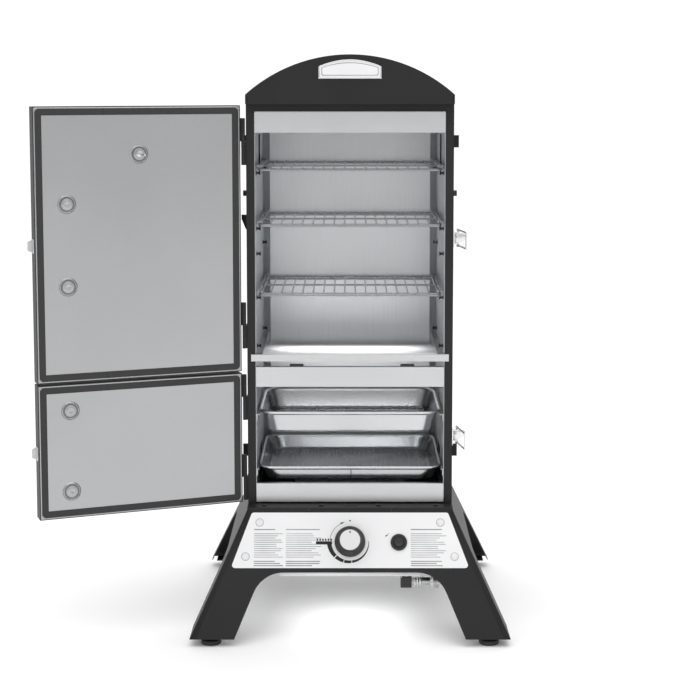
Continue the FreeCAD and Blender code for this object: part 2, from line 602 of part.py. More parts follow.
def drip_tray():
    """Sheet tray on two side rails: front lip, flat, then a fall to the rear."""
    body = piece("drip_tray")
    front = "cabinet_front - 1.4"
    flat = "cabinet_front + tray_flat"
    low = "tray_top - tray_fall"
    thick = "tray_sheet"
    profile(body, "x", [(front, f"tray_top - {thick}"), (flat, f"tray_top - {thick}"),
                        ("tray_back", f"{low} - {thick}"), (f"tray_back + {thick}", f"{low} + tray_rise"),
                        ("tray_back", f"{low} + tray_rise"), (f"tray_back - {thick}", low),
                        (flat, "tray_top"), (front, "tray_top")],
            "-tray_half", "tray_half")
    block(body, ("-tray_lip_half", front, "tray_top - tray_lip_drop"),
          ("tray_lip_half", f"{front} + {thick}", "tray_top"))
    start = "cabinet_front + 5"
    wall = [(start, f"tray_top - {thick}"), (flat, f"tray_top - {thick}"),
            ("tray_back", f"{low} - {thick}"), ("tray_back", "tray_top"), (start, "tray_top")]
    outer = "chamber_half - 3"
    for near, far in (("tray_half", f"tray_half + {thick}"), (f"-tray_half - {thick}", "-tray_half")):
        profile(body, "x", wall, near, far)
    for near, far in (("tray_half", outer), (f"-({outer})", "-tray_half")):
        block(body, (near, start, f"tray_top - {thick}"), (far, "tray_back", "tray_top"))


def pan(label, rim, half, front, back, deep):
    """Drawn sheet pan: tapered walls, flat floor, rolled rim."""
    body = piece(label)
    taper = "pan_taper"
    low = f"{rim} - {deep}"
    for edges, base, cut in (("0", low, False), ("pan_sheet", f"{low} + pan_sheet", True)):
        rise = f"{rim} - ({base})"
        wedge = {"Xmin": f"-({half}) + {taper} + {edges}",
                 "Xmax": f"{half} - {taper} - ({edges})",
                 "Zmin": f"{front} + {taper} + {edges}", "Zmax": f"{back} - {taper} - ({edges})",
                 "X2min": f"-({half}) + {edges}", "X2max": f"{half} - ({edges})",
                 "Z2min": f"{front} + {edges}", "Z2max": f"{back} - ({edges})",
                 "Ymin": 0, "Ymax": f"{rise} + 0.01" if cut else rise}
        feature = body.newObject("PartDesign::" + ("Subtractive" if cut else "Additive")
                                 + "Wedge", "Wedge")
        wedge["Zmin"], wedge["Zmax"] = f"-({wedge['Zmax']})", f"-({wedge['Zmin']})"
        wedge["Z2min"], wedge["Z2max"] = f"-({wedge['Z2max']})", f"-({wedge['Z2min']})"
        for prop, text in wedge.items():
            bind(feature, prop, text)
        feature.Placement = Placement(Vector(), Rotation(Vector(1, 0, 0), 90))
        bind(feature, "Placement.Base.z", base)
    turn = "rim_radius + 2"
    for edge in (front, back):
        rod(body, (f"-({half}) + {turn}", edge, rim), f"2 * ({half} - ({turn}))",
            "rim_radius", "x")
    for edge in (f"-({half})", half):
        rod(body, (edge, f"{front} + {turn}", rim), f"{back} - {front} - 2 * ({turn})",
            "rim_radius", "y")
    for across, along, angle in ((f"{half} - ({turn})", f"{back} - ({turn})", 0),
                                 (f"-({half}) + {turn}", f"{back} - ({turn})", 90),
                                 (f"-({half}) + {turn}", f"{front} + {turn}", 180),
                                 (f"{half} - ({turn})", f"{front} + {turn}", 270)):
        primitive(body, "Torus", (across, along, rim),
                  {"Radius1": turn, "Radius2": "rim_radius", "Angle3": 90},
                  Rotation(Vector(0, 0, 1), angle))


def chip_grid():
    """Flat grid that lies in the chip pan."""
    body = piece("chip_grid")
    low = "chip_rim - chip_deep + 4"
    half, front, back = "chip_half - 22", "chip_front + 22", "chip_back - 22"
    for edge in (front, f"{back} - 3"):
        block(body, (f"-({half})", edge, low), (half, f"{edge} + 3", f"{low} + 3"))
    for row in range(4):
        across = f"{front} + ({back} - ({front})) * {row + 1} / 5"
        block(body, (f"-({half})", across, low), (half, f"{across} + 3", f"{low} + 3"))
    first = block(body, (f"-({half})", front, f"{low} + 2"),
                  (f"-({half}) + 3", back, f"{low} + 5"))
    repeat(body, first, "x", f"({half} - 1.5) / 9", 19)


# ---------------------------------------------------------------- base

def base_panel(label, flare, edge, heading, top, low, legs, corners, arch_level):
    """Sloping panel of the base with two legs and an arch between them.

    Every pair holds the end at negative X first.
    """
    body = piece(label, slope_place(flare, edge, heading))
    slant = f"sqrt({flare}^2 + (base_top - base_foot)^2) / (base_top - base_foot)"
    foot = f"-(base_top - base_foot) * {slant}"
    rise = f"-(base_top - ({arch_level})) * {slant}"
    (near_top, far_top), (near_low, far_low) = top, low
    (near_leg, far_leg), (near_corner, far_corner) = legs, corners
    outline = [(near_low, foot), (near_leg, foot), (near_corner, rise), (far_corner, rise),
               (far_leg, foot), (far_low, foot), (far_top, 0), (near_top, 0)]
    profile(body, "z", outline, "-base_sheet", 0)
    level = number(rise)
    ends_of_arch = [number(corner) for corner in corners]
    round_edges(body, "arch_radius", lambda middle, ends: abs(ends.z) > 0.5
                and abs(middle.y - level) < 0.1
                and min(abs(middle.x - place) for place in ends_of_arch) < 0.1)
    return body


def base():
    half = "cabinet_width / 2"
    wide = f"{half} + side_flare"
    for label, flare, edge, heading in (
            ("base_front", "front_flare", "-front_face", 0),
            ("base_rear", "rear_flare", "cabinet_back", 180)):
        base_panel(label, flare, edge, heading, (f"-({half})", half),
                   (f"-({wide})", wide), ("-leg_inner", "leg_inner"),
                   ("-arch_corner", "arch_corner"), "arch_top")
    inset = 2
    for side, heading, sign in (("right", 90, 1), ("left", -90, -1)):
        front_top, back_top = f"front_face + {inset}", f"cabinet_back - {inset}"
        front_low = f"front_face - front_flare + {inset}"
        back_low = f"cabinet_back + rear_flare - {inset}"
        if sign > 0:
            top, low = (front_top, back_top), (front_low, back_low)
            legs = ("-side_leg_inner", "rear_leg_inner")
            corners = ("-side_arch_corner", "rear_arch_corner")
        else:
            top = (f"-({back_top})", f"-({front_top})")
            low = (f"-({back_low})", f"-({front_low})")
            legs = ("-rear_leg_inner", "side_leg_inner")
            corners = ("-rear_arch_corner", "side_arch_corner")
        base_panel(f"base_{side}", "side_flare", half, heading, top, low,
                   legs, corners, "side_arch_top")
    deck = piece("base_deck")
    block(deck, (f"-({half})", "front_face", "base_top + 0.5"),
          (half, "cabinet_back", "cabinet_floor"))
    block(deck, ("-deck_hole", "-deck_hole + 20", "base_top"),
          ("deck_hole", "deck_hole + 10", "cabinet_floor + 1"), cut=True)
    block(deck, ("-ledge_slot", "ledge_y - 7", "base_top"),
          ("ledge_slot", "ledge_y - 2", "cabinet_floor + 1"), cut=True)
    screws = piece("cabinet_screws")
    for across in (-1.5, -0.5, 0.5, 1.5):
        rod(screws, (f"{across} * ledge_pitch", "ledge_y", "cabinet_floor"), 2, 5)
    feet = piece("levelling_feet")
    for across in (-1, 1):
        for along in (-1, 1):
            block(feet, (f"{across} * foot_x - bracket_half", f"{along} * foot_y - bracket_deep",
                         "base_foot"),
                  (f"{across} * foot_x + bracket_half", f"{along} * foot_y + bracket_deep",
                   "base_foot + bracket_sheet"))
            rod(feet, (f"{across} * foot_x", f"{along} * foot_y", 0), "base_foot",
                "foot_radius")


def slope_box(body, low, high):
    """Box on the front slope, Y given as the distance down from its top edge."""
    block(body, (low[0], f"-({high[1]})", low[2]), (high[0], f"-({low[1]})", high[2]))


def control_panel():
    place = slope_place("front_flare", "-front_face", 0)
    plate = piece("control_plate", place)
    outline = [("-plate_half_low", "-plate_low"), ("plate_half_low", "-plate_low"),
               ("plate_half_top", "-plate_top"), ("-plate_half_top", "-plate_top")]
    profile(plate, "z", outline, 0, 1)
    round_edges(plate, 6, lambda middle, ends: abs(ends.z) > 0.5)
    rivets = piece("panel_rivets", place)
    for across, down in (("rivet_top", "rivet_high"), ("-rivet_top", "rivet_high"),
                         ("rivet_low", "rivet_down"), ("-rivet_low", "rivet_down")):
        rod(rivets, (across, f"-{down}", 1), 1.5, 7.5)
        rod(rivets, (across, f"-{down}", 2.5), 1.5, 5)
    valve = piece("gas_valve", place)
    slope_box(valve, (-17, "knob_down - 20", -38), (17, "knob_down + 20", -3))
    rod(valve, (0, "-knob_down", -39), 45, 8.3, cut=True)
    rod(valve, (0, "-knob_down", -48), 12, 9)
    rod(plate, (0, "-knob_down", -3), 6, 10, cut=True)
    stem = piece("valve_stem", place)
    rod(stem, (0, "-knob_down", -28), 45.5, "stem_radius")
    rod(stem, (0, "-knob_down", -30), 18, 8)
    knob = piece("control_knob", place)
    cone(knob, (0, "-knob_down", 5), 9, "knob_radius", "knob_radius - 5")
    cone(knob, (0, "-knob_down", 14), 5, "knob_radius - 5", "cap_radius + 1")
    cone(knob, (0, "-knob_down", 19), "knob_height - 15", "cap_radius", "cap_radius - 1")
    rod(knob, (0, "-knob_down", 4), 14, "stem_radius + 0.05", cut=True)
    igniter = piece("igniter_module", place)
    rod(igniter, ("igniter_x", "-knob_down - 1", 1), 3, "igniter_radius")
    rod(igniter, ("igniter_x", "-knob_down - 1", -42), 44, 12)
    rod(igniter, ("igniter_x", "-knob_down - 1", -8), 30, "button_radius + 0.4", cut=True)
    button = piece("igniter_button", place)
    rod(button, ("igniter_x", "-knob_down - 1", -2), 9, "button_radius")


def front_holes():
    """Holes of the valve and the igniter through the front panel and the plate."""
    for body in pieces:
        if body.Label == "base_front":
            rod(body, (0, "-knob_down", -5), 10, 10, cut=True)
        if body.Label in ("base_front", "control_plate"):
            rod(body, ("igniter_x", "-knob_down - 1", -5), 10, 12.1, cut=True)


# ---------------------------------------------------------------- gas train

def gas_train():
    """Heat shield, gas pipe to the inlet, burner with its electrode, and flame tamer."""
    shield = piece("heat_shield")
    low, high, skin = "shield_low", "shield_low + shield_rise", "shield_sheet"
    block(shield, ("-shield_half", "shield_front", low), ("shield_half", "shield_back", high))
    block(shield, (f"-shield_half + {skin}", f"shield_front + {skin}", f"{low} + {skin}"),
          (f"shield_half - {skin}", f"shield_back - {skin}", f"{high} + 5"), cut=True)
    drop = "inlet_x + 11"
    rod(shield, (drop, "inlet_y", f"{low} - 5"), 10, 7, cut=True)
    pipe = piece("gas_inlet")
    rod(pipe, ("valve_side", "valve_y", "pipe_z"), "pipe_turn - valve_side",
        "pipe_radius", "x")
    rod(pipe, ("pipe_turn", "valve_y", "pipe_z"), "inlet_y - valve_y", "pipe_radius", "y")
    rod(pipe, ("pipe_turn", "inlet_y", "pipe_z"), f"{drop} - pipe_turn", "pipe_radius", "x")
    rod(pipe, (drop, "inlet_y", "inlet_z"), "pipe_z - inlet_z", "pipe_radius")
    for across, along in (("pipe_turn", "valve_y"), ("pipe_turn", "inlet_y"),
                          (drop, "inlet_y")):
        ball(pipe, (across, along, "pipe_z"), "pipe_radius")
    block(pipe, ("inlet_x", "inlet_y - 11", "inlet_z - 10.5"),
          ("inlet_x + 22", "inlet_y + 11", "inlet_z + 10.5"))
    block(pipe, ("inlet_x", "inlet_y - 11", "inlet_z + 8"),
          ("inlet_x + 2", "inlet_y + 11", low))
    rod(pipe, ("inlet_x + 22", "inlet_y", "inlet_z"), 39, 8, "x")
    rod(pipe, ("inlet_x + 40", "inlet_y", "inlet_z"), 25, 4, "x", cut=True)
    cone(pipe, ("inlet_x + 61", "inlet_y", "inlet_z"), 6, 9, 14, "x")
    rod(pipe, ("inlet_x + 67", "inlet_y", "inlet_z"), 12, 14, "x")
    rod(pipe, ("inlet_x + 60", "inlet_y", "inlet_z"), 25, "inlet_bore", "x", cut=True)
    burner = piece("burner")
    rod(burner, (0, "burner_y", "burner_z - 9"), 18, "burner_radius")
    rod(burner, (0, "burner_y", "burner_z + 4"), 10, 18, cut=True)
    reach = "burner_y - burner_radius"
    rod(burner, (0, "venturi_front", "burner_z"), f"{reach} + 6 - venturi_front",
        "venturi_radius", "y")
    rod(burner, (0, "venturi_front - 1", "burner_z"), f"{reach} + 5 - venturi_front",
        "venturi_bore", "y", cut=True)
    for across in (-50, 50):
        rod(burner, (across, "burner_y", "shield_low + shield_sheet"), "burner_z - shield_low - 8", 6)
    rod(burner, ("electrode_x", "electrode_y", "shield_low + shield_sheet"), 80, 4)
    rod(burner, ("electrode_x", "electrode_y", "shield_low + 80"), 12, 1)
    tamer = piece("flame_tamer")
    top = "cabinet_floor - tamer_drop"
    edge = f"{top} - tamer_fall"
    profile(tamer, "y", [("-tamer_half", edge), (0, top), ("tamer_half", edge),
                         ("tamer_half", f"{edge} + 1.5"), (0, f"{top} + 1.5"),
                         ("-tamer_half", f"{edge} + 1.5")], "tamer_front", "tamer_back")
    for across in ("-tamer_half + 5", "tamer_half - 7"):
        for along in ("tamer_front", "tamer_back - 10"):
            block(tamer, (across, along, "shield_low + shield_sheet"),
                  (f"{across} + 2", f"{along} + 10", f"{edge} + 0.5"))


# ---------------------------------------------------------------- assembly

cabinet_shell()
crossbar("top_bar_low", "top_bar_high")
crossbar("middle_bar_low", "middle_bar_high")
crossbar("bottom_bar_low", "bottom_bar_high")
fixed_supports()
hood()
door("upper_door", "upper_door_low", "upper_door_high", "upper_handle_z", "latch_1",
     ("hinge_1", "hinge_2"), True)
door("lower_door", "lower_door_low", "lower_door_high", "lower_handle_z", "latch_2",
     ("hinge_3", "hinge_4"), False)
thermometer()
hinges()
latch("upper", "latch_1")
latch("lower", "latch_2")
for side in ("left", "right"):
    damper(side, "upper", "damper_high")
    damper(side, "lower", "damper_low")
side_fittings()
for label, level in (("top_rack", "rack_1"), ("middle_rack", "rack_2"),
                     ("bottom_rack", "rack_3")):
    rack(label, level)
drip_tray()
pan("chip_pan", "chip_rim", "chip_half", "chip_front", "chip_back", "chip_deep")
pan("water_pan", "water_rim", "water_half", "water_front", "water_back", "water_deep")
chip_grid()
base()
control_panel()
front_holes()
gas_train()

doc.recompute()
for item in doc.Objects:
    if "Invalid" in item.State or "Error" in item.State:
        raise RuntimeError(f"{item.Label} failed: {item.State}")
os.makedirs("parts", exist_ok=True)
for body in pieces:
    if body.Shape.isNull() or not body.Shape.isValid():
        raise RuntimeError(f"{body.Label} has no sound shape")
    body.Shape.exportStep(f"parts/{body.Label}.step")
print(len(pieces), "sub-parts written")
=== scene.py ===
import bpy
import math
from mathutils import Matrix, Vector


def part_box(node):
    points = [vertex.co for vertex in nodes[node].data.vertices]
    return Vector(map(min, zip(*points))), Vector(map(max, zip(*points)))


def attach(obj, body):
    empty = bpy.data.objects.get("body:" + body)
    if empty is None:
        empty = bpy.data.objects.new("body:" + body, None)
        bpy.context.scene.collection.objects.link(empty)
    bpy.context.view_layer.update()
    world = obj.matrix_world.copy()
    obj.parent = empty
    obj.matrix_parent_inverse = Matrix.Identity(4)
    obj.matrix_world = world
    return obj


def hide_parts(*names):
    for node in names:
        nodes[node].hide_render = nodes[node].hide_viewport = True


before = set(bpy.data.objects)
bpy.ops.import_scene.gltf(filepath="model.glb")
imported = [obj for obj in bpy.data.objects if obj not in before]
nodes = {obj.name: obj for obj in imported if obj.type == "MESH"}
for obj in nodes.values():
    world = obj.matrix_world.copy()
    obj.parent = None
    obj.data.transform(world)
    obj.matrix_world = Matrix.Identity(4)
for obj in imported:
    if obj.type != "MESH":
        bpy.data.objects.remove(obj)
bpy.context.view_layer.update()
MM = 0.001

# Camera, fitted to a level view of the front from a little under the hood's top.
CAMERA_TILT = 6.1457     # degrees below level
CAMERA_SHIFT = -0.13     # share of the picture's width
CAMERA_LENS = 86.1
CAMERA_BACK = 3.3987     # from the cabinet's front frame
CAMERA_HEIGHT = 1.1365

# Places of the assembly, in mm.
FRONT_FACE = -198        # front of the hood and of the closed doors
BASE_TOP = 256
BASE_FOOT = 16
FRONT_FLARE = 100
LEAN = math.atan2(FRONT_FLARE, BASE_TOP - BASE_FOOT)
HINGE = Vector((-216.5, -164, 0))
OPEN_ANGLE = -158.8
DOOR_LEFT, DOOR_RIGHT, DOOR_REAR = -211, 209, -166
DOORS = {"upper": {"low": 539, "high": 1083, "handle": 810.5, "latch": 810.5,
                   "hinges": (1010, 634)},
         "lower": {"low": 265, "high": 535, "handle": 400.5, "latch": 397.5,
                   "hinges": (485, 317)}}
HANDLE_X, HANDLE_PITCH, HANDLE_OVERHANG = 145, 163, 38
GAUGE_X, GAUGE_Z = -1, 988
GAUGE_FIRST, GAUGE_SWEEP = 225, 270    # degrees: the scale's start, and its length clockwise
GAUGE_TICKS, GAUGE_NUMBERS, GAUGE_STEP = 40, 8, 50
HANDLE_STAND = 41.5      # from the door's face to the middle of the bar
SEAL_JOINT_X = 69
PAN_CORNER = 38
PANS = {"chip_pan": (186, -150, 124, 449, 42),     # half width, front, back, rim, depth
        "water_pan": (188, -152, 172, 334, 29)}
BADGE_RISE = 13.5        # of the badge's arched top
BACK_FACE = 203
CHAMBER_HALF, BOLT_REACH, BOLT_HEAD = 193.2, 9, 4.0
BOLT_ROWS = (-120, 130)
BOLT_LEVELS = (943.8, 829.3, 685.8, 777, 585)
LEDGE_Y, LEDGE_Z, LEDGE_SCREWS = -180, 261.9, (-177, -59, 59, 177)
HEM_FOOT, HEM_TOP = 320.6, 210.6    # half widths of the stand's front
FOOT_X, FOOT_Y = 281, 272
INLET_Y, INLET_Z = -155, 93
LATCH_PIVOT = (219, -130)
LATCH_OPEN = -30         # degrees
TRAY_TOP = 574.0
BAR_TOP = 547            # of the bar under the tray
TRAY_STOPS = (-124, 104)

# Places on the sloping control plate: across, and up from the slope's top edge.
PLATE_FACE = 1.0
KNOB_UP = -65
IGNITER_X, IGNITER_UP = 99.7, KNOB_UP - 1
RIVETS = ((185, -25.7), (-185, -25.7), (213, -95), (-213, -95))
DIAL_RADIUS, DIAL_WIDE, DIAL_SLIM = 37.8, 9.4, 0.9
DIAL_BANDS = ((184, 224), (226.5, 251), (253, 274), (276, 312), (312, 362))    # degrees
ROWS_TOP, ROW_PITCH, ROW_COUNT, ROW_GAPS = -40, 4.3, 18, (1, 14)
COLUMNS = ((-196, 60, 0), (-131, 73, 2), (124, 73, 4))     # left end, width, ragged phase

# Dome light: from, to, dark, light along each direction of the sky.
WORLD_UP = (-0.2, 1.0, 0.62, 1.35)
WORLD_BACK = (-1.0, 0.6, 0.78, 1.05)
WORLD_SIDE = (-1.0, 1.0, 1.08, 0.92)

# Lamps: name, place and aim in metres, size, power in watts, spread in radians.
WIDE, NARROW = math.pi, 1.7
LAMPS = (("overhead", (0, -0.6, 4.2), (0, 0, 0), (5, 5), 55, WIDE),
         ("left strip", (-3.4, -1.4, 1.6), (0, 0, 0.6), (0.8, 2.4), 4, WIDE),
         ("right strip", (3.4, -1.4, 1.6), (0, 0, 0.6), (0.8, 2.4), 4, WIDE),
         ("under the shield", (0, -0.14, 0.122), (0, -0.14, 0), (0.20, 0.16), 0.24, WIDE),
         ("over the tray", (0, -0.09, 0.64), (0, -0.09, 0), (0.3, 0.04), 0.20, NARROW),
         ("over the chips", (0, -0.12, 0.50), (0, 0.12, 0.43), (0.3, 0.04), 0.07, NARROW),
         ("over the water", (0, -0.04, 0.40), (0, -0.04, 0), (0.3, 0.04), 0.13, NARROW))
FLOOR_REACH = 14.0


def door_place():
    """From the closed door's place to the open one."""
    return (Matrix.Translation(HINGE) @ Matrix.Rotation(math.radians(OPEN_ANGLE), 4, "Z")
            @ Matrix.Translation(-HINGE))


def slope_place():
    """From (across, up the slope, out of the slope) on the base's front to the frame."""
    return (Matrix.Translation((0, FRONT_FACE, BASE_TOP))
            @ Matrix.Rotation(math.pi / 2 - LEAN, 4, "X"))


OPEN = door_place()
SLOPE = slope_place()


# ------------------------------------------------------------------ shapes, in mm

def piece(name, points, faces, body, slot, finish, place=Matrix(), flat=False, over=()):
    """Mesh object that rides on a body and takes one material; over names what it replaces."""
    mesh = bpy.data.meshes.new(name)
    mesh.from_pydata([(place @ Vector(point)) * MM for point in points], [], faces)
    mesh.materials.append(finish)
    mesh.update()
    for face in mesh.polygons:
        face.use_smooth = not flat
    made = bpy.data.objects.new(name.replace(" ", "_"), mesh)
    bpy.context.scene.collection.objects.link(made)
    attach(made, body)
    for node in over:
        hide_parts(node)
    return made


def crease(thing, width):
    """Small rounded edges that catch the light."""
    made = thing.modifiers.new("bevel", "BEVEL")
    made.width = width * MM
    made.segments = 2
    made.limit_method = "ANGLE"
    made.angle_limit = math.radians(35)
    made.harden_normals = True


def join(*parts):
    """One list of points and faces from several."""
    points, faces = [], []
    for more, lists in parts:
        start = len(points)
        points += more
        faces += [tuple(start + index for index in face) for face in lists]
    return points, faces


def moved(shape, place):
    points, faces = shape
    return [tuple(place @ Vector(point)) for point in points], faces


def loft(rings, closed=False, caps=(True, True)):
    """Skin over rings with the same number of points."""
    count = len(rings[0])
    points = [point for ring in rings for point in ring]
    faces = []
    for row in range(len(rings) if closed else len(rings) - 1):
        near, far = row * count, (row + 1) % len(rings) * count
        for step in range(count):
            after = (step + 1) % count
            faces.append((near + step, near + after, far + after, far + step))
    if not closed and caps[0]:
        faces.append(tuple(reversed(range(count))))
    if not closed and caps[1]:
        faces.append(tuple((len(rings) - 1) * count + step for step in range(count)))
    return points, faces


def lathe(profile, centre=(0, 0, 0), steps=48, caps=(True, True)):
    """Turned shape about Z from (radius, height) pairs."""
    rings = []
    for radius, height in profile:
        rings.append([(centre[0] + radius * math.cos(2 * math.pi * step / steps),
                       centre[1] + radius * math.sin(2 * math.pi * step / steps),
                       centre[2] + height) for step in range(steps)])
    return loft(rings, caps=caps)


def box(low, high):
    (x0, y0, z0), (x1, y1, z1) = low, high
    return loft([[(x0, y0, z0), (x1, y0, z0), (x1, y1, z0), (x0, y1, z0)],
                 [(x0, y0, z1), (x1, y0, z1), (x1, y1, z1), (x0, y1, z1)]])


def oblong(low, high, radius, steps=7):
    """Rounded rectangle, points anticlockwise from the right edge's high end."""
    (x0, y0), (x1, y1) = low, high
    points = []
    for cx, cy, start in ((x1 - radius, y1 - radius, 0), (x0 + radius, y1 - radius, 90),
                          (x0 + radius, y0 + radius, 180), (x1 - radius, y0 + radius, 270)):
        for step in range(steps):
            angle = math.radians(start + 90 * step / (steps - 1))
            points.append((cx + radius * math.cos(angle), cy + radius * math.sin(angle)))
    return points


def band(low, high, section, radius, steps=7):
    """Rounded rectangular ring from (inset, height) points."""
    rings = []
    for inset, height in section:
        loop = oblong((low[0] + inset, low[1] + inset), (high[0] - inset, high[1] - inset),
                      max(radius - inset, 0.6), steps)
        rings.append([(x, y, height) for x, y in loop])
    return loft(rings, closed=True)


def tube(path, radius, sides=14):
    """Round wire along a path."""
    path = [Vector(point) for point in path]
    rings, across = [], None
    for index, point in enumerate(path):
        before = path[max(index - 1, 0)]
        after = path[min(index + 1, len(path) - 1)]
        along = (after - before).normalized()
        if across is None:
            across = along.orthogonal().normalized()
        across = (across - along * across.dot(along)).normalized()
        other = along.cross(across)
        rings.append([tuple(point + radius * (across * math.cos(2 * math.pi * step / sides)
                                              + other * math.sin(2 * math.pi * step / sides)))
                      for step in range(sides)])
    return loft(rings)


def arc(radius, start, stop, steps=12):
    """Points on an arc about the origin, in degrees."""
    turns = [math.radians(start + (stop - start) * step / steps) for step in range(steps + 1)]
    return [(radius * math.cos(turn), radius * math.sin(turn)) for turn in turns]


def decal(outline, level, thick=0.12):
    """Thin printed patch on a surface."""
    return loft([[(x, y, level) for x, y in outline], [(x, y, level + thick) for x, y in outline]])


# ------------------------------------------------------------------ node helpers

def material(name):
    """Empty node material with its principled shader and output."""
    made = bpy.data.materials.new(name)
    made.use_nodes = True
    tree = made.node_tree
    return made, tree.nodes["Principled BSDF"], tree


def set_socket(shader, **values):
    for key, value in values.items():
        shader.inputs[key.replace("_", " ")].default_value = value


def noise(tree, scale, detail=3.0, stretch=(1, 1, 1), rough=0.5):
    """Noise on object coordinates, stretched along an axis when asked."""
    place = tree.nodes.new("ShaderNodeTexCoord")
    mapping = tree.nodes.new("ShaderNodeMapping")
    mapping.inputs["Scale"].default_value = stretch
    grain = tree.nodes.new("ShaderNodeTexNoise")
    grain.inputs["Scale"].default_value = scale
    grain.inputs["Detail"].default_value = detail
    grain.inputs["Roughness"].default_value = rough
    tree.links.new(place.outputs["Object"], mapping.inputs["Vector"])
    tree.links.new(mapping.outputs["Vector"], grain.inputs["Vector"])
    return grain.outputs["Fac"]


def ramp(tree, source, low, high, start=0.3, stop=0.7):
    """Map a factor to a grey or colour range."""
    made = tree.nodes.new("ShaderNodeValToRGB")
    for stop_index, (place, value) in enumerate(((start, low), (stop, high))):
        made.color_ramp.elements[stop_index].position = place
        colour = value if isinstance(value, tuple) else (value,) * 3
        made.color_ramp.elements[stop_index].color = (*colour, 1)
    tree.links.new(source, made.inputs["Fac"])
    return made.outputs["Color"]


def bump(tree, shader, source, strength, distance):
    made = tree.nodes.new("ShaderNodeBump")
    made.inputs["Strength"].default_value = strength
    made.inputs["Distance"].default_value = distance
    tree.links.new(source, made.inputs["Height"])
    tree.links.new(made.outputs["Normal"], shader.inputs["Normal"])


# ------------------------------------------------------------------ materials

def powder_coat(name, colour):
    """Fine-textured satin powder coat."""
    made, shader, tree = material(name)
    set_socket(shader, Specular_IOR_Level=0.28)
    broad = noise(tree, 6, 2)
    dark = tuple(c * 0.88 for c in colour)
    light = tuple(c * 1.15 for c in colour)
    tree.links.new(ramp(tree, broad, dark, light), shader.inputs["Base Color"])
    fine = noise(tree, 1400, 2)
    tree.links.new(ramp(tree, fine, 0.42, 0.56), shader.inputs["Roughness"])
    bump(tree, shader, fine, 0.12, 0.0004)
    return made


def brushed(name, colour, roughness, along, contrast):
    """Brushed stainless sheet; the grain runs along one axis."""
    made, shader, tree = material(name)
    set_socket(shader, Metallic=1.0)
    stretch = {"x": (0.02, 1, 1), "y": (1, 0.02, 1), "z": (1, 1, 0.015)}[along]
    grain = noise(tree, 900, 4, stretch, 0.6)
    cloud = noise(tree, 5, 3)
    mix = tree.nodes.new("ShaderNodeMath")
    mix.operation = "MULTIPLY_ADD"
    mix.inputs[1].default_value = 0.6
    tree.links.new(grain, mix.inputs[0])
    spread = tree.nodes.new("ShaderNodeMath")
    spread.operation = "MULTIPLY"
    spread.inputs[1].default_value = 0.4
    tree.links.new(cloud, spread.inputs[0])
    tree.links.new(spread.outputs[0], mix.inputs[2])
    dark = tuple(c * (1 - contrast) for c in colour)
    light = tuple(min(1, c * (1 + contrast)) for c in colour)
    tree.links.new(ramp(tree, mix.outputs[0], dark, light), shader.inputs["Base Color"])
    tree.links.new(ramp(tree, grain, roughness - 0.07, roughness + 0.09),
                   shader.inputs["Roughness"])
    bump(tree, shader, grain, 0.10, 0.0003)
    return made


def chrome(name, colour, roughness):
    made, shader, tree = material(name)
    set_socket(shader, Metallic=1.0, Base_Color=(*colour, 1))
    smear = noise(tree, 60, 3)
    tree.links.new(ramp(tree, smear, roughness - 0.04, roughness + 0.10),
                   shader.inputs["Roughness"])
    return made


def enamel(name, colour=(0.86, 0.86, 0.87)):
    made, shader, tree = material(name)
    cloud = noise(tree, 12, 2)
    dark = tuple(c * 0.97 for c in colour)
    tree.links.new(ramp(tree, cloud, dark, colour), shader.inputs["Base Color"])
    set_socket(shader, Roughness=0.38)
    bump(tree, shader, noise(tree, 900, 2), 0.05, 0.0003)
    return made


def moulded(name, colour=(0.018, 0.018, 0.018), roughness=0.45):
    """Moulded plastic or black oxide with a fine grain."""
    made, shader, tree = material(name)
    cloud = noise(tree, 30, 2)
    dark = tuple(c * 0.8 for c in colour)
    light = tuple(c * 1.25 for c in colour)
    tree.links.new(ramp(tree, cloud, dark, light), shader.inputs["Base Color"])
    grain = noise(tree, 1800, 2)
    tree.links.new(ramp(tree, grain, roughness - 0.06, roughness + 0.08),
                   shader.inputs["Roughness"])
    bump(tree, shader, grain, 0.15, 0.0003)
    return made


def woven_seal(name):
    """Flat woven glass-fibre seal: small dark weave."""
    made, shader, tree = material(name)
    place = tree.nodes.new("ShaderNodeTexCoord")
    waves = []
    for axis in ("X", "Z"):
        wave = tree.nodes.new("ShaderNodeTexWave")
        wave.bands_direction = axis
        wave.inputs["Scale"].default_value = 160
        wave.inputs["Distortion"].default_value = 0.6
        tree.links.new(place.outputs["Object"], wave.inputs["Vector"])
        waves.append(wave.outputs["Fac"])
    both = tree.nodes.new("ShaderNodeMath")
    both.operation = "MULTIPLY"
    tree.links.new(waves[0], both.inputs[0])
    tree.links.new(waves[1], both.inputs[1])
    tree.links.new(ramp(tree, both.outputs[0], (0.030, 0.030, 0.030), (0.060, 0.060, 0.060),
                        0.0, 1.0), shader.inputs["Base Color"])
    set_socket(shader, Roughness=0.85)
    bump(tree, shader, both.outputs[0], 0.5, 0.0006)
    return made


def clear_glass(name):
    made, shader, _ = material(name)
    set_socket(shader, Roughness=0.03, Alpha=0.25, Base_Color=(0.95, 0.97, 0.97, 1))
    return made


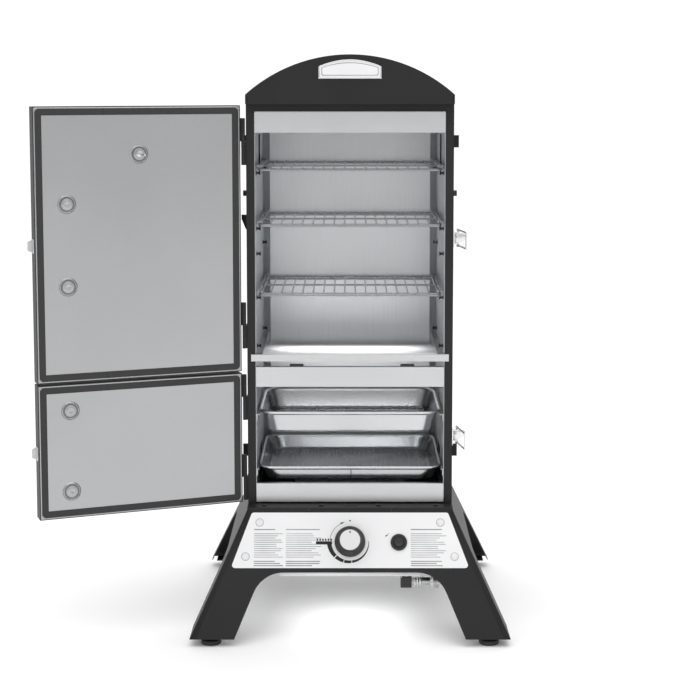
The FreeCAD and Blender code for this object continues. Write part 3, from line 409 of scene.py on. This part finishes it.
paint = powder_coat("charcoal powder coat", (0.016, 0.016, 0.0165))
door_steel = brushed("brushed door steel", (0.455, 0.458, 0.465), 0.34, "x", 0.06)
wall_steel = brushed("brushed wall steel", (0.66, 0.675, 0.69), 0.36, "z", 0.08)
bar_steel = brushed("brushed bar steel", (0.64, 0.645, 0.655), 0.38, "x", 0.04)
pan_steel = brushed("drawn pan steel", (0.68, 0.69, 0.70), 0.22, "y", 0.05)
tray_steel = brushed("bright tray steel", (0.62, 0.625, 0.635), 0.30, "x", 0.04)
# painted shade: dark steel that stands for the shade inside the groove of each pressed boss
groove_shade_steel = brushed("painted groove shade steel", (0.20, 0.20, 0.205), 0.42, "x", 0.08)
# painted reflection: near-white layer on the steel drip tray's flat, standing for the bright
# reflection it shows
tray_sheen_face = enamel("tray face painted reflection", (0.94, 0.94, 0.945))
wire = chrome("plated wire", (0.36, 0.36, 0.37), 0.20)
bright = chrome("bright chrome", (0.74, 0.74, 0.75), 0.12)
zinc = chrome("zinc plate", (0.52, 0.52, 0.53), 0.34)
# white of the plates and the dial; on the steel lip of the heat shield it is a painted reflection
white = enamel("white enamel and painted reflection")
silver = enamel("silver cap", (0.74, 0.74, 0.75))
# black print, dial marks and seal joints; in the screw slots and the water pan's seam it is painted
# shade
ink = moulded("black ink and painted shade", (0.006, 0.006, 0.006), 0.6)
# grey print, and also the painted shadow ring round each plate rivet
grey_ink_and_shadow = moulded("grey ink and painted shadow", (0.30, 0.30, 0.31), 0.6)
pale_ink = moulded("pale ink", (0.42, 0.42, 0.43), 0.6)
zinc_white = enamel("painted rivet", (0.80, 0.80, 0.81))
rubber = moulded("foot rubber", (0.020, 0.020, 0.020), 0.62)
black = moulded("black moulding")
oxide = moulded("black oxide steel", (0.014, 0.014, 0.014), 0.40)
iron = moulded("cast iron", (0.035, 0.034, 0.033), 0.72)
seal = woven_seal("woven seal")
glass = clear_glass("gauge glass")
red = moulded("red enamel", (0.45, 0.03, 0.02), 0.4)

FINISHES = {
    paint: ("left_side_panel", "right_side_panel", "back_panel", "hood_front", "hood_roof",
            "cabinet_hinge_leaves", "base_front", "base_rear", "base_left", "base_right",
            "base_deck", "left_upper_damper", "left_lower_damper", "right_upper_damper",
            "right_lower_damper", "upper_door_shell", "lower_door_shell",
            "upper_door_fittings", "lower_door_fittings"),
    door_steel: ("upper_door_inner_panel", "lower_door_inner_panel"),
    wall_steel: ("chamber_liners", "back_liner", "pan_rails", "flame_tamer"),
    bar_steel: ("cross_bars", "heat_shield"),
    pan_steel: ("chip_pan", "water_pan"),
    tray_steel: ("drip_tray",),
    wire: ("top_rack", "middle_rack", "bottom_rack", "chip_grid"),
    bright: ("latch_bases", "upper_latch_lever", "lower_latch_lever", "upper_latch_bail",
             "lower_latch_bail", "upper_door_handle", "lower_door_handle",
             "thermometer_case"),
    zinc: ("gas_inlet", "gas_valve", "valve_stem"),
    white: ("badge_plate", "control_plate", "panel_rivets"),
    black: ("control_knob", "igniter_button", "igniter_module", "levelling_feet",
            "side_fittings"),
    oxide: ("rack_bolts", "cabinet_screws"),
    iron: ("burner",),
    seal: ("upper_door_gasket", "lower_door_gasket"),
    glass: ("thermometer_lens",),
    red: ("thermometer_needle",),
}


def finish_nodes():
    for made, names in FINISHES.items():
        for name in names:
            for place in nodes[name].material_slots:
                place.material = made


# ------------------------------------------------------------------ doors

def door_details(name, low, high, handle):
    """Folded lip, bead, seal, pressed bosses and handle of one door, in its closed place."""
    body = name + "_door"
    corner_low, corner_high = (DOOR_LEFT, low), (DOOR_RIGHT, high)
    # planes of the inner and outer sides: across, up, and away from the door
    inside = OPEN @ Matrix(((1, 0, 0, 0), (0, 0, 1, DOOR_REAR), (0, 1, 0, 0), (0, 0, 0, 1)))
    lip = band(corner_low, corner_high,
               [(0.0, -0.6), (0.15, 0.2), (0.5, 0.4), (1.1, 0.4), (1.5, 0.2), (1.6, -0.6)], 3.5)
    piece(name + " door lip", *lip, body, body + "_shell", paint, inside)
    bead = band(corner_low, corner_high,
                [(1.7, 0.0), (1.9, 0.8), (2.6, 1.2), (3.6, 1.1), (4.2, 0.5), (4.4, 0.0)], 8)
    piece(name + " liner bead", *bead, body, body + "_inner_panel", door_steel, inside)
    rope = band(corner_low, corner_high,
                [(4.0, 0.0), (4.1, 0.9), (5.0, 1.35), (7.0, 1.5), (14.5, 1.5), (16.4, 1.35),
                 (17.1, 0.8), (17.2, 0.0)], 13)
    piece(name + " seal", *rope, body, body + "_gasket", seal, inside, over=(body + "_gasket",))
    for joint_z in (low + 10.6, high - 10.6):
        joint = box((SEAL_JOINT_X, joint_z - 6.6, 0.4), (SEAL_JOINT_X + 0.9, joint_z + 6.6, 1.58))
        piece(name + " seal joint", *joint, body, body + "_gasket", ink, inside)
    levels = (handle + HANDLE_PITCH / 2, handle - HANDLE_PITCH / 2)
    for level in levels:
        pressed_boss(name + " handle boss", (HANDLE_X, level, 0), body, inside)
    outer = OPEN @ Matrix(((1, 0, 0, 0), (0, 0, -1, FRONT_FACE), (0, 1, 0, 0), (0, 0, 0, 1)))
    grip = -HANDLE_PITCH / 2 - HANDLE_OVERHANG
    bar = lathe([(0.5, grip), (6, grip + 0.8), (9.6, grip + 3), (10.8, grip + 7),
                 (11, grip + 12), (11, grip + 40), (11, -grip - 40), (11, -grip - 12),
                 (10.8, -grip - 7), (9.6, -grip - 3), (6, -grip - 0.8), (0.5, -grip)])
    stand = OPEN @ Matrix.Translation((HANDLE_X, FRONT_FACE - HANDLE_STAND, handle))
    piece(name + " handle bar", *bar, body, body + "_handle", bright, stand,
          over=(body + "_handle",))
    post = [(12.5, 0.0), (12.5, 1.6), (11.4, 2.6), (8.4, 3.4), (7.4, 6), (7.2, 22), (7.8, 30),
            (9, 34)]
    bolt = [(9.2, 2.2), (9.2, 3.1), (8.6, 3.6), (3.0, 3.8), (2.4, 3.1), (0.3, 3.0)]
    for level in levels:
        piece(name + " handle post", *lathe(post, (HANDLE_X, level, 0)), body,
              body + "_handle", bright, outer)
        piece(name + " handle bolt", *lathe(bolt, (HANDLE_X, level, 0)), body,
              body + "_handle", door_steel, inside)
    hinge_details(name, body)


def pressed_boss(name, centre, body, place):
    """Ring pressed into the inner panel: bright crest, groove darkened with painted shade, flat
    middle.
    """
    slot = body + "_inner_panel"
    crest = [(19.0, -0.3), (18.4, 0.3), (17.4, 1.6), (16.6, 2.5), (15.8, 2.8), (15.0, 2.5),
             (14.4, 1.6), (14.2, 0.9)]
    piece(name, *lathe(crest, centre, caps=(False, False)), body, slot, wire, place)
    # painted shade: the groove is a dark ring of the same steel
    groove = [(14.4, 1.9), (13.8, 1.95), (12.2, 1.95), (11.8, 2.1)]
    piece(name + " groove", *lathe(groove, centre, caps=(False, False)), body, slot,
          groove_shade_steel, place)
    middle = [(11.9, 1.9), (11.5, 2.6), (10.8, 2.9), (8.0, 2.5), (0.3, 2.4)]
    piece(name + " middle", *lathe(middle, centre), body, slot, door_steel, place)


def hinge_details(name, body):
    """Rounded hinge leaves and knuckles, and the steel strike of the latch."""
    slot = body + "_fittings"
    for level in DOORS[name]["hinges"]:
        leaf = box((HINGE.x + 3.3, HINGE.y - 30, level + 0.3),
                   (HINGE.x + 5.4, HINGE.y, level + 47.5))
        crease(piece(name + " hinge leaf", *leaf, body, slot, paint, OPEN, flat=True,
                     over=(slot,)), 0.5)
        barrel = lathe([(2.5, 0.3), (3.5, 0.3), (4.0, 0.8), (4.0, 46.6), (3.4, 47.4),
                        (0.3, 47.5)], (HINGE.x, HINGE.y, level))
        piece(name + " hinge barrel", *barrel, body, slot, paint, OPEN)
    level = DOORS[name]["latch"]
    tab = [(DOOR_RIGHT, level - 13.5), (DOOR_RIGHT + 9.6, level - 9.4),
           (DOOR_RIGHT + 11, level - 8.0), (DOOR_RIGHT + 11, level + 8.0),
           (DOOR_RIGHT + 9.6, level + 9.4), (DOOR_RIGHT, level + 13.5)]
    strike = loft([[(x, y, z) for x, z in tab] for y in (-186, -184)])
    foot = box((DOOR_RIGHT, -192, level - 13.5), (DOOR_RIGHT + 1.5, -172, level + 13.5))
    crease(piece(name + " strike", *join(strike, foot), body, slot, bar_steel, OPEN,
                 flat=True), 0.3)


def gauge_details():
    """Dial, ticks, numbers and bezel of the door thermometer, and its nut inside."""
    body, slot = "upper_door", "thermometer_case"
    face = OPEN @ Matrix(((1, 0, 0, GAUGE_X), (0, 0, -1, FRONT_FACE - 6), (0, 1, 0, GAUGE_Z),
                          (0, 0, 0, 1)))
    piece("gauge dial", *lathe([(33.5, 0.05), (33.5, 0.4), (0.2, 0.4)]), body, slot, white, face)
    ticks = []
    for step in range(GAUGE_TICKS + 1):
        angle = math.radians(GAUGE_FIRST - GAUGE_SWEEP * step / GAUGE_TICKS)
        inner, wide = (26.5, 0.5) if step % 5 == 0 else (29, 0.25)
        line = box((inner, -wide, 0.45), (31.5, wide, 0.6))
        ticks.append(moved(line, Matrix.Rotation(angle, 4, "Z")))
    zone = arc(25.5, 150, 60) + arc(23.5, 150, 60)[::-1]
    piece("gauge ticks", *join(*ticks), body, slot, ink, face, flat=True)
    piece("gauge zone", *decal(zone, 0.45), body, slot, grey_ink_and_shadow, face, flat=True)
    for step in range(GAUGE_NUMBERS + 1):
        angle = math.radians(GAUGE_FIRST - GAUGE_SWEEP * step / GAUGE_NUMBERS)
        number(str(GAUGE_STEP * (step + 1)), 4.4, face @ Matrix.Translation(
            (20.5 * math.cos(angle), 20.5 * math.sin(angle), 0.45)), body)
    rim = lathe([(33.8, 8.4), (34.6, 9.4), (36.5, 9.7), (38.0, 9.2), (39.2, 7.6), (39.4, 5.0),
                 (39.4, -5.0), (41.5, -5.6), (41.5, -5.98)], caps=(False, False))
    piece("gauge bezel", *rim, body, slot, bright, face)
    inside = OPEN @ Matrix(((1, 0, 0, GAUGE_X), (0, 0, 1, DOOR_REAR), (0, 1, 0, GAUGE_Z),
                            (0, 0, 0, 1)))
    pressed_boss("gauge boss", (0, 0, 0), body, inside)
    nut = lathe([(6.4, 2.4), (6.4, 4.2), (5.6, 6.0), (4.2, 6.8), (2.7, 7.1)], steps=32)
    piece("gauge nut", *nut, body, slot, bright, inside)


def number(text, size, place, body):
    """Printed digits on a dial."""
    curve = bpy.data.curves.new("digits " + text, "FONT")
    curve.body = text
    curve.size = size * MM
    curve.align_x = "CENTER"
    curve.align_y = "CENTER"
    curve.extrude = 0.06 * MM
    curve.materials.append(ink)
    made = bpy.data.objects.new("digits_" + text, curve)
    scaled = place.copy()
    scaled.translation = place.translation * MM
    made.matrix_world = scaled
    bpy.context.scene.collection.objects.link(made)
    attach(made, body)


# ------------------------------------------------------------------ pans

def rounded_pan(name, half, front, back, rim, deep):
    """Drawn pan with rounded corners, a rolled rim and a flat floor."""
    rolled = [(3.0, 0.2), (1.2, 1.2), (0.2, 2.4), (-1.0, 2.9), (-2.3, 2.2), (-3.0, 0.4),
              (-2.6, -1.8), (-1.2, -2.8), (-0.4, -2.4)]
    outside = [(1.4, -1.2), (4.0, -6.0), (13.0, -(deep - 4)), (14.2, -(deep - 1.4)),
               (16.5, -deep)]
    inside = [(21.0, -(deep - 1.1)), (17.6, -(deep - 1.5)), (15.4, -(deep - 3.0)),
              (14.0, -(deep - 6)), (5.4, -6.0), (3.2, -1.2)]
    rings = []
    for inset, height in inside + rolled + outside:
        loop = oblong((-half + inset, front + inset), (half - inset, back - inset),
                      PAN_CORNER - 0.45 * inset, 10)
        rings.append([(x, y, rim + height) for x, y in loop])
    piece(name + " drawn", *loft(rings), name + "_body", name, pan_steel, over=(name,))


# ------------------------------------------------------------------ control panel

def plate_patch(outline, thick=0.12, centre=(0, 0)):
    """Print on the plate, its outline given about a centre."""
    return decal([(centre[0] + x, centre[1] + y) for x, y in outline], PLATE_FACE, thick)


def dial_marks():
    """Printed scale round the knob, flames and spark mark, all without letters."""
    knob = (0, KNOB_UP)
    first, last = DIAL_BANDS[0][0], DIAL_BANDS[-1][1]
    marks = []
    for start, stop in DIAL_BANDS:
        outer, inner = [], []
        for step in range(13):
            angle = start + (stop - start) * step / 12
            thick = DIAL_WIDE + (DIAL_SLIM - DIAL_WIDE) * (angle - first) / (last - first)
            turn = math.radians(angle)
            for points, radius in ((outer, DIAL_RADIUS + thick), (inner, DIAL_RADIUS)):
                points.append((radius * math.cos(turn), radius * math.sin(turn)))
        marks.append(plate_patch(outer + inner[::-1], centre=knob))
    arrow = [(-18.8, 35.4), (-10.6, 40.4), (-19.6, 39.2)]
    marks.append(plate_patch(arc(41.6, 116, 174, 20) + arc(40.8, 116, 174, 20)[::-1],
                             centre=knob))
    marks.append(plate_patch(arrow, centre=knob))
    marks.append(lathe([(1.7, 0), (1.7, 0.12)], (0, KNOB_UP + 43, PLATE_FACE), 20))
    for step in range(6):
        x = -66.5 + 5.6 * step
        flame = [(x - 1.7, 2.2), (x + 1.7, 2.2), (x + 1.9, 4.2), (x, 7.6), (x - 1.9, 4.2)]
        marks.append(plate_patch(flame, centre=knob))
    marks.append(plate_patch(oblong((-69.5, -5.4), (-36.5, 1.2), 0.7, 3), centre=knob))
    spark = [(-27.4, 11.0), (-22.5, 14.0), (-23.0, 15.2), (-17.6, 19.6), (-21.6, 17.6),
             (-21.8, 16.4), (-26.6, 14.2)]
    marks.append(plate_patch(spark, centre=(IGNITER_X, IGNITER_UP)))
    piece("dial marks", *join(*marks), "cabinet", "control_plate", ink, SLOPE, flat=True)


def plate_rows():
    """Ragged plain rows in columns; the first and the last ones are stronger."""
    heads, rows = [], []
    for left, width, phase in COLUMNS:
        for row in range(ROW_COUNT):
            if row in ROW_GAPS:
                continue
            up = ROWS_TOP - ROW_PITCH * row
            length = width * (0.72 + 0.28 * math.sin(2.3 * row + phase) ** 2)
            strong = row == 0 or row > ROW_GAPS[-1]
            half = 1.05 if strong else 0.85
            bar = plate_patch(oblong((left, up - half), (left + length, up + half), 0.5, 2), 0.08)
            (heads if strong else rows).append(bar)
    for name, bars, print_ink in (("plate headings", heads, grey_ink_and_shadow),
                                  ("plain rows", rows, pale_ink)):
        piece(name, *join(*bars), "cabinet", "control_plate", print_ink, SLOPE, flat=True)


def control_details():
    """Knob, igniter and dome rivets, each rivet ringed with painted shadow."""
    grip = [(29.5, 5.0), (31.0, 5.8), (31.4, 7.2), (31.0, 9.6), (28.6, 13.4), (25.4, 17.0),
            (23.4, 20.4), (22.6, 25.0), (22.4, 31.0), (21.8, 34.4), (21.0, 35.4), (20.8, 35.2)]
    piece("knob grip", *lathe(grip, (0, KNOB_UP, 0), 72), "knob", "control_knob", black, SLOPE,
          over=("control_knob",))
    cap = [(20.7, 34.0), (20.7, 35.6), (20.2, 36.2), (18.6, 36.7), (12, 37.2), (0.3, 37.4)]
    piece("knob cap", *lathe(cap, (0, KNOB_UP, 0), 72), "knob", "control_knob", silver, SLOPE)
    dot = lathe([(1.7, 36.4), (1.7, 37.2), (0.2, 37.3)], (0, KNOB_UP + 15.5, 0), 20)
    piece("knob mark", *dot, "knob", "control_knob", ink, SLOPE)
    collar = lathe([(16.9, 1.0), (16.9, 3.4), (16.2, 4.2), (14.4, 4.4), (13.9, 3.2), (13.5, 3.1),
                    (12.9, 4.5), (11.6, 4.6), (10.9, 4.0), (10.2, 4.0)],
                   (IGNITER_X, IGNITER_UP, 0), caps=(False, False))
    piece("igniter collar", *collar, "cabinet", "igniter_module", black, SLOPE)
    button = lathe([(9.6, 2.0), (9.6, 6.6), (9.0, 7.4), (7.6, 7.6), (6.9, 7.1), (3, 6.8),
                    (0.3, 6.8)], (IGNITER_X, IGNITER_UP, 0))
    piece("igniter button", *button, "ignition_button", "igniter_button", black, SLOPE,
          over=("igniter_button",))
    dome = [(7.6, 1.0), (7.5, 1.5), (6.6, 2.7), (4.4, 3.7), (2.2, 4.0), (0.2, 4.0)]
    domes = [lathe(dome, (x, y, 0), 32) for x, y in RIVETS]
    # painted shadow: a grey ring on the plate round each rivet dome
    ring = [(8.4, 1.0), (8.4, 1.14), (7.5, 1.14)]
    rings = [lathe(ring, (x, y, 0), 32, (False, False)) for x, y in RIVETS]
    piece("rivet shadows", *join(*rings), "cabinet", "panel_rivets", grey_ink_and_shadow, SLOPE)
    piece("plate rivets", *join(*domes), "cabinet", "panel_rivets", zinc_white, SLOPE,
          over=("panel_rivets",))


# ------------------------------------------------------------------ cabinet and base

def base_details():
    """Hems down the edges of the front legs, and foot pads with their brackets."""
    slope = math.hypot(FRONT_FLARE, BASE_TOP - BASE_FOOT)
    for sign in (-1, 1):
        for inset, radius in ((1.6, 1.5), (8.0, 0.8)):
            path = [(sign * (HEM_FOOT - inset), 1.5 - slope, 0.2),
                    (sign * (HEM_TOP - inset), -1, 0.2)]
            piece("leg hem", *tube(path, radius), "cabinet", "base_front", paint, SLOPE)
    pad = [(17.0, 0.0), (19.6, 0.8), (20.5, 2.6), (20.4, 7.0), (19.4, 9.4), (16.0, 10.6),
           (8.0, 10.9), (7.6, 15.9)]
    feet, plates = [], []
    for across in (-FOOT_X, FOOT_X):
        for along in (-FOOT_Y, FOOT_Y):
            feet.append(lathe(pad, (across, along, 0)))
            plates.append(box((across - 30, along - 17, BASE_FOOT),
                              (across + 30, along + 17, BASE_FOOT + 3)))
    piece("foot pads", *join(*feet), "cabinet", "levelling_feet", rubber,
          over=("levelling_feet",))
    crease(piece("foot brackets", *join(*plates), "cabinet", "levelling_feet", paint,
                 flat=True), 0.8)


def gas_details():
    """Folded lip of the heat shield painted white as its bright reflection, and the black block and
    rings on the inlet.
    """
    outline = oblong((-146, 129.4), (146, 140.5), 4.5)
    lip = loft([[(x, y, z) for x, z in outline] for y in (-239.4, -237.9)])
    # painted reflection: white on the steel lip stands for the bright reflection it shows
    piece("shield lip", *lip, "cabinet", "heat_shield", white)
    block = box((105.4, INLET_Y - 11.6, INLET_Z - 11.1), (128.4, INLET_Y + 11.6, INLET_Z + 11.1))
    crease(piece("inlet block", *block, "cabinet", "gas_inlet", black, flat=True), 1.2)
    for start, radius in ((134, 8.6), (139.5, 9.2), (145, 8.6)):
        ring = [(radius - 1.4, 0), (radius, 0.6), (radius, 3.4), (radius - 1.4, 4.0)]
        stand = (Matrix.Translation((start, INLET_Y, INLET_Z))
                 @ Matrix.Rotation(math.pi / 2, 4, "Y"))
        piece("inlet ring", *moved(lathe(ring, caps=(False, False)), stand), "cabinet",
              "gas_inlet", bright)


def badge_details():
    """Blank badge: raised rim and a fine dark line, no lettering."""
    low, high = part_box("badge_plate")
    (left, face, bottom), (right, _, top) = low / MM, high / MM
    middle, side = (left + right) / 2, top - BADGE_RISE

    def outline(inset):
        points = [(left + inset + 2, bottom + inset), (right - inset - 2, bottom + inset),
                  (right - inset, bottom + inset + 2)]
        half = (right - left) / 2 - inset
        for step in range(25):
            across = half * (1 - step / 12)
            points.append((middle + across, side - inset * 0.4 + (BADGE_RISE - inset * 0.6)
                           * (1 - (across / half) ** 2)))
        points.append((left + inset, bottom + inset + 2))
        return points

    rings = []
    for inset, out in ((0.2, 0.1), (0.4, 0.9), (1.2, 1.2), (2.2, 1.0), (2.6, 0.1)):
        rings.append([(x, face - out, z) for x, z in outline(inset)])
    piece("badge rim", *loft(rings, caps=(False, False)), "cabinet", "badge_plate", bright)
    line = [[(x, face - 0.12, z) for x, z in outline(inset)] for inset in (6.0, 7.4)]
    piece("badge line", *loft(line, caps=(False, False)), "cabinet", "badge_plate", grey_ink_and_shadow)


def screw_heads(name, places, turn, slot, radius):
    """Pan heads with a cross slot darkened with painted shade, facing up before they are turned."""
    heads, slots = [], []
    for place in places:
        stand = Matrix.Translation(place) @ turn
        head = lathe([(radius, 0.0), (radius, 0.5), (radius * 0.86, 1.4), (radius * 0.5, 2.0),
                      (0.2, 2.2)], steps=24)
        heads.append(moved(head, stand))
        for wide, tall in ((radius * 0.5, 0.45), (0.45, radius * 0.5)):
            slots.append(moved(box((-wide, -tall, 1.9), (wide, tall, 2.26)), stand))
    piece(name, *join(*heads), "cabinet", slot, oxide)
    # painted shade: black bars in the cross slots
    piece(name + " slots", *join(*slots), "cabinet", slot, ink, flat=True)


def cabinet_details():
    """Screws on the ledge and the back, and pressed ribs on the back panel."""
    screw_heads("ledge screws", [(x, LEDGE_Y, LEDGE_Z) for x in LEDGE_SCREWS], Matrix(),
                "cabinet_screws", 4.6)
    back = [(x, BACK_FACE, z) for x in (-198, 198) for z in (290, 480, 670, 860, 1050)]
    back += [(x, BACK_FACE, z) for x in (-66, 66) for z in (290, 1050)]
    screw_heads("back screws", back, Matrix.Rotation(-math.pi / 2, 4, "X"), "back_panel", 4.2)
    section = [(0, -0.2), (1.5, 0.9), (4.0, 1.6), (6.5, 0.9), (8.0, -0.2)]
    for low, high in ((330, 640), (700, 1010)):
        points, faces = band((-170, low), (170, high), section, 26)
        piece("back rib", [(x, BACK_FACE + z, y) for x, y, z in points],
              [tuple(reversed(face)) for face in faces], "cabinet", "back_panel", paint)


def rack_studs():
    """Shoulder bolts that carry the racks: thin shank, round head, collar at the wall."""
    stud = [(4.6, 0.0), (4.6, 1.2), (2.4, 1.6), (2.4, BOLT_REACH - 3.4),
            (BOLT_HEAD - 0.5, BOLT_REACH - 3.0), (BOLT_HEAD, BOLT_REACH - 2.4),
            (BOLT_HEAD, BOLT_REACH - 0.7), (BOLT_HEAD - 0.8, BOLT_REACH)]
    studs = []
    for side in (-1, 1):
        for along in BOLT_ROWS:
            for level in BOLT_LEVELS:
                stand = (Matrix.Translation((side * CHAMBER_HALF, along, level))
                         @ Matrix.Rotation(-side * math.pi / 2, 4, "Y"))
                studs.append(moved(lathe(stud, steps=20), stand))
    piece("rack studs", *join(*studs), "cabinet", "rack_bolts", black, over=("rack_bolts",))


def latch_lever(name, level):
    """Curved lever leaf in the open place, with a rolled tip."""
    stand = (Matrix.Translation((*LATCH_PIVOT, level))
             @ Matrix.Rotation(math.radians(LATCH_OPEN), 4, "Z"))
    rings = []
    for along, bulge, half, thick in ((3.2, 0.6, 9.4, 1.1), (8, 2.0, 9.5, 1.1), (14, 3.1, 9.3, 1.1),
                                      (20, 3.6, 8.8, 1.1), (26, 3.5, 8.0, 1.1), (30, 3.7, 7.0, 1.2),
                                      (33, 4.6, 5.6, 1.3), (34.4, 5.6, 4.0, 1.2)):
        ring = []
        for step in range(9):
            z = half * (1 - step / 4)
            ring.append((bulge * (1 - 0.45 * (z / half) ** 2) + thick, along, z))
        for step in range(9):
            z = half * (step / 4 - 1)
            ring.append((bulge * (1 - 0.45 * (z / half) ** 2) - thick * 0.4, along, z))
        rings.append(ring)
    leaf = loft(rings)
    barrel = lathe([(2.4, -9.5), (3.6, -9.5), (4.0, -9.0), (4.0, 9.0), (3.6, 9.5), (2.4, 9.5)],
                   caps=(False, False))
    piece(name + " latch lever", *join(leaf, barrel), name + "_lever",
          name + "_latch_lever", bright, stand, over=(name + "_latch_lever",))
    pin = tube([(0, 9, -19), (0, 9, 19)], 2)
    piece(name + " bail pin", *pin, name + "_lever", name + "_latch_lever", bright, stand)


def tray_details():
    """Flat of the drip tray painted near white as a painted reflection on its steel, its rolled
    lip, and the dark stops below it.
    """
    # painted reflection: white enamel over the steel tray's flat
    flat = decal(oblong((-180, -160), (180, -52), 6), TRAY_TOP, 0.3)
    piece("tray face", *flat, "drip_tray_body", "drip_tray", tray_sheen_face)
    roll = tube([(-202.4, -163.0, TRAY_TOP - 0.4), (202.4, -163.0, TRAY_TOP - 0.4)], 0.7)
    piece("tray lip roll", *roll, "drip_tray_body", "drip_tray", tray_steel)
    for left in TRAY_STOPS:
        stop = box((left - 0.3, -160.4, BAR_TOP), (left + 28.3, -151.8, BAR_TOP + 5.3))
        crease(piece("tray stop", *stop, "cabinet", "cross_bars", black, flat=True), 1.0)


def water_seam():
    """Folded seam down the front wall of the water pan, drawn as a black line of painted shade."""
    low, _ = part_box("water_pan")
    front = low.y / MM + 3
    seam = tube([(2, front + 2.6, 327), (2, front + 12.4, 308)], 0.8)
    # painted shade: black line along the fold
    piece("water pan seam", *seam, "water_pan_body", "water_pan", ink)


# ------------------------------------------------------------------ studio

def camera():
    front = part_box("left_side_panel")[0].y
    data = bpy.data.cameras.new("camera")
    data.lens = CAMERA_LENS
    data.sensor_width = 36.0
    data.shift_y = CAMERA_SHIFT
    made = bpy.data.objects.new("camera", data)
    made.location = (0, front - CAMERA_BACK, CAMERA_HEIGHT)
    made.rotation_euler = (math.radians(90 - CAMERA_TILT), 0, 0)
    bpy.context.scene.collection.objects.link(made)
    bpy.context.scene.camera = made


def area_light(name, place, aim, size, power, spread):
    data = bpy.data.lights.new(name, "AREA")
    data.shape = "RECTANGLE"
    data.size, data.size_y = size
    data.energy = power
    data.spread = spread
    made = bpy.data.objects.new(name, data)
    made.location = place
    made.rotation_euler = (Vector(aim) - Vector(place)).to_track_quat("-Z", "Y").to_euler()
    made.visible_camera = False
    bpy.context.scene.collection.objects.link(made)


def world_light():
    """Pale dome: brightest overhead and behind, softer in front; plain white where it is seen."""
    world = bpy.data.worlds.new("studio")
    bpy.context.scene.world = world
    world.use_nodes = True
    tree = world.node_tree
    place = tree.nodes.new("ShaderNodeTexCoord")
    split = tree.nodes.new("ShaderNodeSeparateXYZ")
    tree.links.new(place.outputs["Generated"], split.inputs[0])
    total = None
    for axis, curve in (("Z", WORLD_UP), ("Y", WORLD_BACK), ("X", WORLD_SIDE)):
        shade = tree.nodes.new("ShaderNodeMapRange")
        low, high, dark, light = curve
        for socket, value in (("From Min", low), ("From Max", high), ("To Min", dark),
                              ("To Max", light)):
            shade.inputs[socket].default_value = value
        tree.links.new(split.outputs[axis], shade.inputs["Value"])
        if total is None:
            total = shade.outputs[0]
        else:
            times = tree.nodes.new("ShaderNodeMath")
            times.operation = "MULTIPLY"
            tree.links.new(total, times.inputs[0])
            tree.links.new(shade.outputs[0], times.inputs[1])
            total = times.outputs[0]
    path = tree.nodes.new("ShaderNodeLightPath")
    mix = tree.nodes.new("ShaderNodeMix")
    tree.links.new(path.outputs["Is Camera Ray"], mix.inputs["Factor"])
    tree.links.new(total, mix.inputs["A"])
    mix.inputs["B"].default_value = 1.05
    tree.links.new(mix.outputs["Result"], tree.nodes["Background"].inputs["Strength"])
    tree.nodes["Background"].inputs["Color"].default_value = (1, 1, 1, 1)


def studio():
    world_light()
    for lamp in LAMPS:
        area_light(*lamp)
    floor = bpy.data.meshes.new("floor")
    corners = ((-1, -1), (1, -1), (1, 1), (-1, 1))
    floor.from_pydata([(x * FLOOR_REACH, y * FLOOR_REACH, 0) for x, y in corners], [],
                      [(0, 1, 2, 3)])
    made = bpy.data.objects.new("floor", floor)
    pale, shader, _ = material("pale floor")
    set_socket(shader, Base_Color=(0.97, 0.97, 0.97, 1), Roughness=0.9,
               Specular_IOR_Level=0.1)
    floor.materials.append(pale)
    bpy.context.scene.collection.objects.link(made)
    bpy.context.scene.view_settings.view_transform = "Standard"


finish_nodes()
for name, door in DOORS.items():
    door_details(name, door["low"], door["high"], door["handle"])
gauge_details()
for name, size in PANS.items():
    rounded_pan(name, *size)
water_seam()
tray_details()
dial_marks()
plate_rows()
control_details()
base_details()
badge_details()
rack_studs()
gas_details()
cabinet_details()
for name, door in DOORS.items():
    latch_lever(name, door["latch"])
studio()
camera()

bpy.context.view_layer.update()
